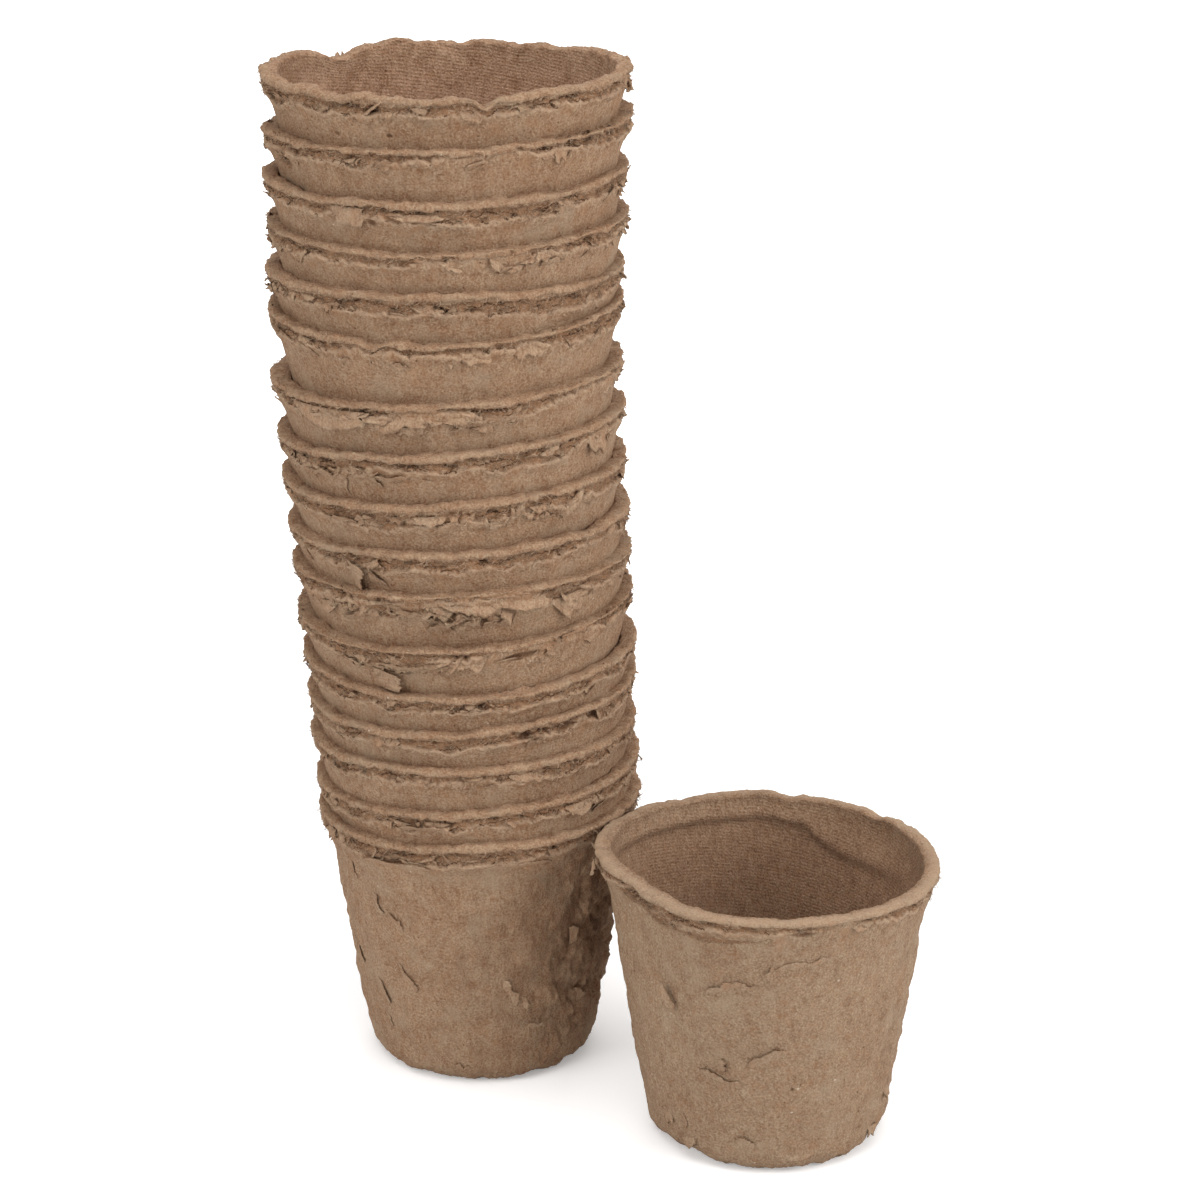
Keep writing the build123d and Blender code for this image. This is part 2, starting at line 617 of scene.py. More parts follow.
def write_numbers(mesh: bpy.types.Mesh, name: str, values: np.ndarray) -> None:
    """Stores a number on the points of a mesh."""
    mesh.attributes.new(name, "FLOAT", "POINT").data.foreach_set("value", values.astype(np.float32))


def smooth(values: np.ndarray, low: Any, high: Any) -> np.ndarray:
    """Rises smoothly from 0 at low to 1 at high."""
    share = np.clip((values - low) / (high - low), 0.0, 1.0)
    return share * share * (3.0 - 2.0 * share)


def lattice_noise(across: np.ndarray, along: np.ndarray, seed: int) -> np.ndarray:
    """Smooth noise from 0 to 1 over a plane.

    Args:
        across: First place of each point, where one swell is about one unit long.
        along: Second place of each point.
        seed: Which noise it is.

    Returns:
        The noise at each point.
    """
    corners = np.random.default_rng(seed).uniform(0.0, 1.0, (64, 64))
    left, low = np.floor(across).astype(int), np.floor(along).astype(int)
    u, v = smooth(across - left, 0.0, 1.0), smooth(along - low, 0.0, 1.0)
    rows = [
        corners[left % 64, (low + step) % 64] * (1.0 - u) + corners[(left + 1) % 64, (low + step) % 64] * u
        for step in (0, 1)
    ]
    return rows[0] * (1.0 - v) + rows[1] * v


@dataclass
class ShellPoints:
    """Points of a pot's shell, upright at the origin, with what is stored on them. Lengths in millimetres."""

    theta: np.ndarray
    radius: np.ndarray
    z: np.ndarray
    drop: np.ndarray
    inside: np.ndarray
    torn: np.ndarray
    deep: np.ndarray
    edge: np.ndarray
    # Share of painted shade in pits and creases, and of darker patches.
    pit: np.ndarray
    height: float

    AXIS_RADIUS: ClassVar[float] = 15.0
    FAR_AWAY: ClassVar[float] = 500.0

    @classmethod
    def read(cls, mesh: bpy.types.Mesh, size: PotSize) -> "ShellPoints":
        """Reads the points of a mesh that the shell tree made."""
        place = np.empty(len(mesh.vertices) * 3, np.float32)
        mesh.vertices.foreach_get("co", place)
        place = place.reshape(-1, 3).astype(float) / MM
        return cls(
            theta=np.arctan2(place[:, 1], place[:, 0]),
            radius=np.hypot(place[:, 0], place[:, 1]),
            z=place[:, 2].copy(),
            drop=read_numbers(mesh, "drop") / MM,
            inside=read_numbers(mesh, "inside"),
            torn=read_numbers(mesh, "torn"),
            deep=read_numbers(mesh, "deep"),
            edge=read_numbers(mesh, "edge"),
            pit=np.zeros(len(place)),
            height=size.height / MM,
        )

    @property
    def level(self) -> np.ndarray:
        """How far each point lies below the top of the lip."""
        return self.height - self.z

    @property
    def outside(self) -> np.ndarray:
        """1 on the outside of the pot, 0 inside."""
        return 1.0 - self.inside

    def places(self) -> np.ndarray:
        """Places of the points as rows of x, y and z, in metres."""
        columns = (self.radius * np.cos(self.theta), self.radius * np.sin(self.theta), self.z)
        return np.stack(columns, axis=1) * MM

    def aside(self, bearing: float) -> np.ndarray:
        """Distance of each point round the wall from a bearing; points near the axis count as far away."""
        turn = self.theta - math.radians(bearing - 90.0)
        around = (np.mod(turn + math.pi, math.tau) - math.pi) * self.radius
        return np.where(self.radius < self.AXIS_RADIUS, self.FAR_AWAY, around)


@dataclass(frozen=True)
class Dent:
    """A soft dent that takes both faces of the wall with it; a negative depth is a bulge."""

    bearing: float
    level: float
    width: float
    tall: float
    depth: float

    def press(self, points: ShellPoints) -> None:
        """Presses the dent into the shell."""
        across = points.aside(self.bearing) / self.width
        along = (points.level - self.level) / self.tall
        points.radius -= self.depth * np.exp(-(across**2) - along**2)


@dataclass(frozen=True)
class Crumple:
    """A stretch of the outside that is crumpled like bark."""

    bearing: float
    level: float
    width: float
    tall: float
    height: float
    seed: int
    grain: float = 3.2

    def press(self, points: ShellPoints) -> None:
        """Adds ridges and creases, and paints shade into the creases, the darker the higher the ridges are.
        """
        across, along = points.aside(self.bearing), points.level - self.level
        fade = np.exp(-((across / self.width) ** 4) - (along / self.tall) ** 4) * points.outside
        across, along = across / self.grain, along / (1.2 * self.grain)
        warp = lattice_noise(0.7 * along, 0.7 * across, self.seed + 2)
        coarse = lattice_noise(0.8 * across + 0.6 * along + warp, 0.8 * along - 0.6 * across, self.seed)
        finer = lattice_noise(1.9 * across - 1.1 * along, 1.9 * along + 1.1 * across + warp, self.seed + 1)
        ridge, ripple = np.abs(2.0 * coarse - 1.0), np.abs(2.0 * finer - 1.0)
        points.radius += self.height * (ridge + 0.45 * ripple - 0.55) * fade
        crease = 1.0 - smooth(ridge + 0.2 * ripple, 0.03, 0.3)
        # Painted shade in the creases, darker where the ridges are higher.
        points.pit = np.maximum(points.pit, min(0.35 * self.height, 0.65) * crease * fade)


@dataclass(frozen=True)
class DarkPatches:
    """A stretch of the outside that is mottled darker."""

    bearing: float
    level: float
    width: float
    tall: float
    share: float
    seed: int
    grain: float = 5.0

    def press(self, points: ShellPoints) -> None:
        """Darkens the wall in patches."""
        across, along = points.aside(self.bearing), points.level - self.level
        fade = np.exp(-((across / self.width) ** 2) - (along / self.tall) ** 2) * points.outside
        across, along = across / self.grain, along / self.grain
        patches = lattice_noise(across + 0.5 * along, along - 0.5 * across, self.seed)
        spots = lattice_noise(2.6 * across, 2.2 * along, self.seed + 1)
        # Darker patches, stored with the painted shade.
        points.pit = np.maximum(points.pit, self.share * fade * smooth(patches + 0.5 * spots, 0.35, 1.1))


@dataclass(frozen=True)
class Pit:
    """A small hole in the outside of the wall, with shade painted into it."""

    bearing: float
    level: float
    width: float
    tall: float
    depth: float = 0.8

    def press(self, points: ShellPoints) -> None:
        """Sinks the wall and paints shade into the hole."""
        far = (points.aside(self.bearing) / self.width) ** 2 + ((points.level - self.level) / self.tall) ** 2
        hole = np.exp(-(far**2)) * points.outside
        points.radius -= self.depth * hole
        # Painted shade in the hole, stored with the other painted shade.
        points.pit = np.maximum(points.pit, hole)


@dataclass(frozen=True)
class Notch:
    """A bite out of the lip, which may lean out; a negative depth is a bump."""

    bearing: float
    width: float
    depth: float
    lean: float = 0.0

    def press(self, points: ShellPoints) -> None:
        """Lowers the lip round the bearing."""
        bite = 1.0 - smooth(np.abs(points.aside(self.bearing)), 0.0, self.width)
        bite = bite * (1.0 - smooth(points.drop, 1.0, 11.0))
        points.z -= self.depth * bite
        points.radius += self.lean * bite


@dataclass(frozen=True)
class Tear:
    """A patch of the outside whose skin is gone, so that the core shows."""

    bearing: float
    level: float
    width: float
    tall: float
    seed: int = 0
    depth: float = 0.7

    def press(self, points: ShellPoints) -> None:
        """Takes the skin off, with a ragged edge."""
        draw = np.random.default_rng(self.seed)
        waves = draw.uniform(0.0, math.tau, 5)
        pull = np.arctan2((points.level - self.level) / self.tall, points.aside(self.bearing) / self.width)
        ragged = sum(np.sin(pull * (k + 2) + waves[k]) / (k + 2.0) for k in range(5))
        far = np.hypot(points.aside(self.bearing) / self.width, (points.level - self.level) / self.tall)
        bare = (1.0 - smooth(far * (1.0 + 0.35 * ragged), 0.85, 1.0)) * points.outside
        points.radius -= self.depth * bare * (1.0 - points.torn)
        points.torn = np.maximum(points.torn, bare)
        points.deep = np.maximum(points.deep, 0.6 * bare)


@dataclass(frozen=True)
class Fold:
    """A fold inside the pot: the wall above a line leans in over the wall below it.

    Args:
        line: Points of the line from right to left: bearing from 0 to 360 degrees, level, depth, softness.
        start: How far below the top of the lip the wall begins to lean in.
    """

    line: Sequence[tuple[float, float, float, float]]
    start: float = 1.2

    def press(self, points: ShellPoints) -> None:
        """Leans the upper part of the inner wall in."""
        bearing = np.mod(np.degrees(points.theta) + 90.0, 360.0)
        bearings, *rows = np.array(self.line).T
        level, depth, edge = (np.interp(bearing, bearings, row) for row in rows)
        above = smooth(points.level, self.start, level) * (1.0 - smooth(points.level, level, level + edge))
        points.radius -= depth * above * smooth(points.inside, 0.4, 0.9)


Mark = Dent | Crumple | DarkPatches | Pit | Notch | Tear | Fold


@dataclass(frozen=True)
class Flap:
    """A torn tongue of skin that stands off the wall. Lengths in millimetres.

    Args:
        bearing: Where the middle of its fixed edge is, in degrees to the right of the front.
        level: How far below the top of the lip that is.
        width: How wide it is.
        length: How long it is, from the fixed edge to the free one.
        lift: How far its free edge stands off the wall.
        aim: Which way the free edge points, in degrees to the right of straight down.
        seed: Which ragged outline it has.
        taper: How much narrower the free edge is, from 0 to 1.
        ragged: How uneven the free edge is, from 0 to 1.
        thickness: How thick it is.
        tuck: How far its sides go into the wall.
    """

    bearing: float
    level: float
    width: float
    length: float
    lift: float
    aim: float = 0.0
    seed: int = 0
    taper: float = 0.2
    ragged: float = 0.55
    thickness: float = 0.32
    tuck: float = 0.0
    columns: int = 22
    rows: int = 7

    @classmethod
    def edge(cls, bearing: float, level: float, length: float, slant: float, lift: float = 0.5) -> "Flap":
        """A crack in the skin, one side of which stands proud.

        Args:
            bearing: Where its middle is, in degrees to the right of the front.
            level: How far below the top of the lip its middle is.
            length: How long it is.
            slant: Which way it runs, in degrees to the right of straight down. Its right side is proud.
            lift: How far the proud side stands out.

        Returns:
            The proud side.
        """
        reach = min(3.0, 0.5 * length + 0.5)
        aim = math.radians(90.0 + slant)
        return cls(
            bearing=bearing - math.degrees(reach * math.sin(aim) / WALL_RADIUS),
            level=level - reach * math.cos(aim),
            width=length,
            length=reach,
            lift=lift,
            aim=90.0 + slant,
            seed=int(1000 + 10 * level + abs(bearing)),
            taper=0.05,
            thickness=THIN_SKIN,
            tuck=0.35,
        )

    def sheet(self, size: PotSize) -> tuple[np.ndarray, np.ndarray]:
        """Works out the flap as a closed sheet on an upright pot.

        Args:
            size: Sizes of the pot.

        Returns:
            The places of its points, and its faces as rows of four point numbers, which point outwards.
        """
        draw = np.random.default_rng(self.seed)
        across = np.linspace(-1.0, 1.0, self.columns)
        ragged = np.interp(across, np.linspace(-1, 1, 6), draw.uniform(1.0 - self.ragged, 1.0, 6))
        ragged = ragged + draw.uniform(-0.07, 0.07, self.columns)
        reach = (ragged * (1.0 - 0.5 * np.abs(across) ** 8))[:, None]
        skew = draw.uniform(-0.2, 0.2)
        u, v = np.meshgrid(across, np.linspace(0.0, 1.0, self.rows), indexing="ij")
        run = v * reach
        sides = 1.0 + 0.12 * np.sin(5.0 * v + 6.0 * skew) * np.sign(u)
        side = (0.5 * u * (1.0 - self.taper * v) * sides + skew * v) * self.width
        crumpled = lattice_noise(2.0 * u + 2.0, 3.0 * v, self.seed)
        lift = self.lift * (0.45 + crumpled) * run**1.4 - 0.45 * (1.0 - v) ** 2 - self.tuck * np.abs(u) ** 5
        aim = math.radians(self.aim)
        right = run * self.length * math.sin(aim) - side * math.cos(aim)
        z = size.height / MM - self.level - run * self.length * math.cos(aim) - side * math.sin(aim)
        radius = size.skin(z * MM) / MM + lift
        turn = math.radians(self.bearing - 90.0) + right / radius
        layers = [
            np.stack((r * np.cos(turn), r * np.sin(turn), z), axis=-1).reshape(-1, 3)
            for r in (radius, radius + self.thickness)
        ]
        return np.concatenate(layers) * MM, self._faces()

    def _faces(self) -> np.ndarray:
        """Faces of the sheet's two sides and of the edge between them."""
        count = self.columns * self.rows
        number = np.arange(count).reshape(self.columns, self.rows)
        quads = np.stack((number[:-1, :-1], number[1:, :-1], number[1:, 1:], number[:-1, 1:]), axis=-1)
        quads = quads.reshape(-1, 4)
        rim = np.concatenate((number[:, 0], number[-1, 1:], number[-2::-1, -1], number[0, -2:0:-1]))
        ahead = np.roll(rim, -1)
        sides = np.stack((rim, ahead, ahead + count, rim + count), axis=1)
        return np.concatenate((quads[:, ::-1], quads + count, sides))


@dataclass(frozen=True)
class Shreds:
    """Many small torn tongues about a bearing, some hanging and some standing up. Lengths in millimetres.

    Args:
        count: How many there are.
        seed: Which ones they are.
        bearing: Where the middle of them is, in degrees to the right of the front.
        spread: How far they reach to either side, in degrees.
        level: Least and greatest distance of their fixed edges below the top of the lip.
        width: Least and greatest width.
        length: Least and greatest length.
        lift: Least and greatest distance of a free edge from the wall.
    """

    count: int
    seed: int
    bearing: float = 0.0
    spread: float = 180.0
    level: Point = (1.8, 4.2)
    width: Point = (1.2, 7.0)
    length: Point = (0.9, 2.6)
    lift: Point = (0.25, 1.0)

    def flaps(self) -> list[Flap]:
        """Draws the tongues."""
        draw = np.random.default_rng(self.seed)
        return [self._flap(draw, index) for index in range(self.count)]

    def _flap(self, draw: np.random.Generator, index: int) -> Flap:
        """Draws one tongue."""
        rises = draw.random() < 0.35
        length = draw.uniform(*self.length)
        return Flap(
            bearing=self.bearing + draw.uniform(-self.spread, self.spread),
            level=draw.uniform(*self.level) + rises * length,
            width=draw.uniform(*self.width),
            length=length,
            lift=draw.uniform(*self.lift),
            aim=draw.normal(0.0, 22.0) + rises * 180.0,
            seed=1000 * self.seed + index,
            taper=draw.uniform(0.0, 0.7),
            thickness=THIN_SKIN,
            columns=10,
            rows=4,
        )


class MeshParts:
    """Points, faces and stored numbers of a piece that is put together from a shell and torn flaps."""

    SHEET_NUMBERS: ClassVar[dict[str, float]] = {
        "drop": 6 * MM, "inside": 0.0, "torn": 0.0, "deep": 0.0, "edge": 0.0, "pit": 0.0, "flap": 1.0,
    }

    def __init__(self, shell: bpy.types.Mesh, points: ShellPoints) -> None:
        """Takes a shell's faces and its pressed points."""
        corners = np.empty(len(shell.loops), np.int32)
        shell.loops.foreach_get("vertex_index", corners)
        totals = np.empty(len(shell.polygons), np.int32)
        shell.polygons.foreach_get("loop_total", totals)
        self.places = [points.places()]
        self.corners = [corners]
        self.totals = [totals]
        self.wall = [self._wall_map(points, corners, totals)]
        self.numbers = {
            "drop": [points.drop * MM],
            "inside": [points.inside],
            "torn": [points.torn],
            "deep": [points.deep],
            "edge": [points.edge],
            "pit": [points.pit],
            "flap": [np.zeros(len(points.z))],
        }
        self.count = len(points.z)

    @staticmethod
    def _wall_map(points: ShellPoints, corners: np.ndarray, totals: np.ndarray) -> np.ndarray:
        """Distances round and down the wall at each face corner, in millimetres, unbroken at the seam."""
        turn = points.theta[corners]
        starts = np.concatenate(([0], np.cumsum(totals)[:-1]))
        low = np.repeat(np.minimum.reduceat(turn, starts), totals)
        turn = np.where(turn - low > math.pi, turn - math.tau, turn)
        return np.stack((turn * WALL_RADIUS, points.drop[corners]), axis=1)

    def add_sheet(self, places: np.ndarray, faces: np.ndarray) -> None:
        """Adds a torn flap."""
        self.places.append(places)
        self.corners.append((faces + self.count).reshape(-1).astype(np.int32))
        self.totals.append(np.full(len(faces), 4, np.int32))
        self.wall.append(np.zeros((faces.size, 2)))
        for name, value in self.SHEET_NUMBERS.items():
            self.numbers[name].append(np.full(len(places), value))
        self.count += len(places)

    def mesh(self, name: str, matrix: Matrix) -> bpy.types.Mesh:
        """Makes the mesh.

        Args:
            name: Name of the mesh.
            matrix: Moves the upright pot onto its seat.

        Returns:
            The mesh, in the frame.
        """
        corners, totals = np.concatenate(self.corners), np.concatenate(self.totals)
        places = np.concatenate(self.places) @ np.array(matrix.to_3x3()).T + np.array(matrix.translation)
        mesh = bpy.data.meshes.new(name)
        mesh.vertices.add(len(places))
        mesh.vertices.foreach_set("co", places.astype(np.float32).reshape(-1))
        mesh.loops.add(len(corners))
        mesh.loops.foreach_set("vertex_index", corners)
        mesh.polygons.add(len(totals))
        starts = np.concatenate(([0], np.cumsum(totals)[:-1]))
        mesh.polygons.foreach_set("loop_start", starts.astype(np.int32))
        mesh.update(calc_edges=True)
        mesh.shade_smooth()
        layer = mesh.uv_layers.new(name="wall")
        layer.data.foreach_set("uv", np.concatenate(self.wall).astype(np.float32).reshape(-1))
        for label, values in self.numbers.items():
            write_numbers(mesh, label, np.concatenate(values))
        return mesh


@dataclass(frozen=True)
class LipShape:
    """How a pot's lip lies on its solid's lip. Lengths in millimetres.

    Args:
        rise: How much higher it is.
        tip: How much higher again its right end is, and how much lower its left end.
        bow: How much higher again both ends are than the front.
        nod: How much higher again its front is, and how much lower its back.
        shift: How much further to the right it is.
    """

    rise: float = 0.0
    tip: float = 0.0
    bow: float = 0.0
    nod: float = 0.0
    shift: float = 0.0

    def bend(self, places: np.ndarray, size: PotSize) -> None:
        """Moves upright points with the lip, less and less towards the foot."""
        share = np.clip(places[:, 2] / size.height, 0.0, 1.0)
        right, front = places[:, 0] / size.rim_radius, -places[:, 1] / size.rim_radius
        lift = self.rise + self.tip * right + self.bow * right**2 + self.nod * front
        places[:, 2] += lift * MM * share
        places[:, 0] += self.shift * MM * share


@dataclass
class MouldedPot:
    """One pot of the set, with the wear that it has. Lengths of its own in millimetres.

    Args:
        node: CAD node and body that it stands for.
        size: Sizes of the pot.
        show: How much of it is seen.
        seed: Which pot it is.
        spread: Share by which its mouth is wider from left to right than the solid's.
        lip: How its lip lies.
        lip_width: How wide the lip is.
        torn_width: How tall the torn band under the lip mostly is.
        torn_share: How much of the rim has a torn band.
        lip_wave: How far the lip swells up and down.
        lip_sway: How far the lip swells in and out.
        lip_fray: How far the edge of the lip is frayed.
        marks: Dents, crumpled and creased stretches, darker patches, pits, notches, tears and folds.
        flaps: Torn tongues of skin.
    """

    node: str
    size: PotSize
    show: Show
    seed: int
    spread: float = 0.0
    lip: LipShape = LipShape()
    lip_width: float = 3.6
    torn_width: float = 2.8
    torn_share: float = 0.72
    lip_wave: float = 2.4
    lip_sway: float = 1.8
    lip_fray: float = 2.6
    marks: Sequence[Mark] = ()
    flaps: Sequence[Flap] = ()

    SEGMENTS: ClassVar[dict[Show, int]] = {
        Show.NESTED: 450,
        Show.TOP: 470,
        Show.BOTTOM: 490,
        Show.SINGLE: 440,
    }

    def _gaps(self) -> dict[Zone, float]:
        """Distance between the rows of the mesh in each zone, in millimetres."""
        fine_out = self.show in (Show.BOTTOM, Show.SINGLE)
        fine_in = self.show in (Show.TOP, Show.SINGLE)
        return {
            Zone.FLOOR: 3.0 if fine_in else 14.0,
            Zone.INNER_WALL: 1.3 if fine_in else 10.0,
            Zone.LIP: 0.4,
            Zone.TORN: 0.27,
            Zone.OUTER_WALL: 0.82 if fine_out else 14.0,
            Zone.FOOT: 0.9 if fine_out else 2.4,
        }

    def section(self) -> bpy.types.Mesh:
        """Half a section through the pot, from the middle of its floor over the lip to that of its foot.

        Returns:
            A mesh of one line of edges, with the numbers that the shell tree reads on its points.
        """
        size, gap, tilt = self.size, self._gaps(), math.degrees(self.size.taper)
        slant = math.cos(size.taper)
        bend = size.inner_corner
        bend_middle = size.inner(size.floor + bend) - bend / slant
        foot_middle = size.outer(size.corner) - size.corner / slant
        lip_wide = self.lip_width / 2 * MM
        lip_middle = (size.rim_radius - lip_wide, size.height - size.lip_tall)
        collar_z = size.height - size.collar
        deep_z = collar_z - 28 * MM
        neck_z = size.height - size.neck
        band_z = size.height - size.band
        view_z = size.height - size.view
        path = SectionPath()
        path.start((0.0, size.floor))
        path.line(Zone.FLOOR, (bend_middle, size.floor), gap[Zone.FLOOR])
        path.arc(Zone.INNER_WALL, (bend_middle, size.floor + bend), (bend, bend), (-90.0, -tilt), 1.2)
        path.line(Zone.INNER_WALL, (size.inner(deep_z), deep_z), gap[Zone.INNER_WALL] * 1.3)
        path.line(Zone.INNER_WALL, (size.inner(collar_z), collar_z), gap[Zone.INNER_WALL])
        collar_gap = 0.9 if self.show in (Show.TOP, Show.SINGLE) else 1.6
        path.line(Zone.INNER_WALL, (lip_middle[0] - lip_wide, lip_middle[1] - 0.4 * MM), collar_gap)
        path.arc(Zone.LIP, lip_middle, (lip_wide, size.lip_tall), (180.0, -60.0), gap[Zone.LIP], flat=0.48)
        path.line(Zone.TORN, (size.skin(neck_z), neck_z), gap[Zone.TORN])
        path.line(Zone.TORN, (size.skin(band_z), band_z), gap[Zone.TORN])
        path.line(Zone.OUTER_WALL, (size.skin(view_z), view_z), 0.6)
        foot_top = size.corner - size.corner * math.sin(size.taper)
        path.line(Zone.OUTER_WALL, (size.outer(foot_top), foot_top), gap[Zone.OUTER_WALL])
        foot = (foot_middle, size.corner)
        path.arc(Zone.FOOT, foot, (size.corner, size.corner), (-tilt, -90.0), gap[Zone.FOOT])
        path.line(Zone.FOOT, (0.0, 0.0), gap[Zone.FLOOR])
        return path.mesh(f"{self.node}_section", size, self.show)

    def shell(self, tree: ShellTree, material: bpy.types.Material) -> bpy.types.Mesh:
        """Runs the shell tree on the pot's section."""
        settings = {
            "Segments": self.SEGMENTS[self.show],
            "Material": material,
            "Seed": self.seed * 13.7,
            "Lip Wave": self.lip_wave * MM,
            "Lip Sway": self.lip_sway * MM,
            "Lip Drop": 3.0 * MM,
            "Torn Width": self.torn_width * MM,
            "Torn Share": self.torn_share,
            "Torn Depth": 0.75 * MM,
            "Skin Curl": 1.8 * MM,
            "Lip Fray": self.lip_fray * MM,
            "Lump Height": 1.1 * MM,
            "Grain Height": 0.42 * MM,
            "Foot Ragged": 3.0 * MM,
        }
        return tree.apply(self.section(), settings)

    def stretch(self, places: np.ndarray) -> np.ndarray:
        """Gives upright points the pot's own mouth and height."""
        share = np.clip(places[:, 2] / self.size.height, 0.0, 1.0)
        stretched = places.copy()
        self.lip.bend(stretched, self.size)
        stretched[:, 0] *= 1.0 + self.spread * share
        return stretched

    def build(self, shells: ShellTree, fibres: FibreTree, material: bpy.types.Material) -> bpy.types.Object:
        """Makes the pot and seats it.

        Args:
            shells: Tree that makes the shell.
            fibres: Tree that scatters the loose fibres.
            material: Finish of the pot.

        Returns:
            The finished piece, riding on its body.
        """
        shell = self.shell(shells, material)
        points = ShellPoints.read(shell, self.size)
        for mark in self.marks:
            mark.press(points)
        points.z = np.maximum(points.z, 0.0)
        parts = MeshParts(shell, points)
        for flap in self.flaps:
            parts.add_sheet(*flap.sheet(self.size))
        parts.places = [self.stretch(places) for places in parts.places]
        body = parts.mesh(f"{self.node}_body", Seat.from_frame(self.node, self.size).matrix())
        settings = {
            "Material": material,
            "Seed": self.seed,
            "Fibres per Square Metre": 1.3e6,
            "Fibre Length": 1.4 * MM,
            "Fibre Radius": 0.065 * MM,
        }
        piece = bpy.data.objects.new(f"pulp_{self.node}", fibres.apply(body, settings))
        bpy.context.scene.collection.objects.link(piece)
        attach(piece, self.node)
        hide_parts(self.node)
        return piece


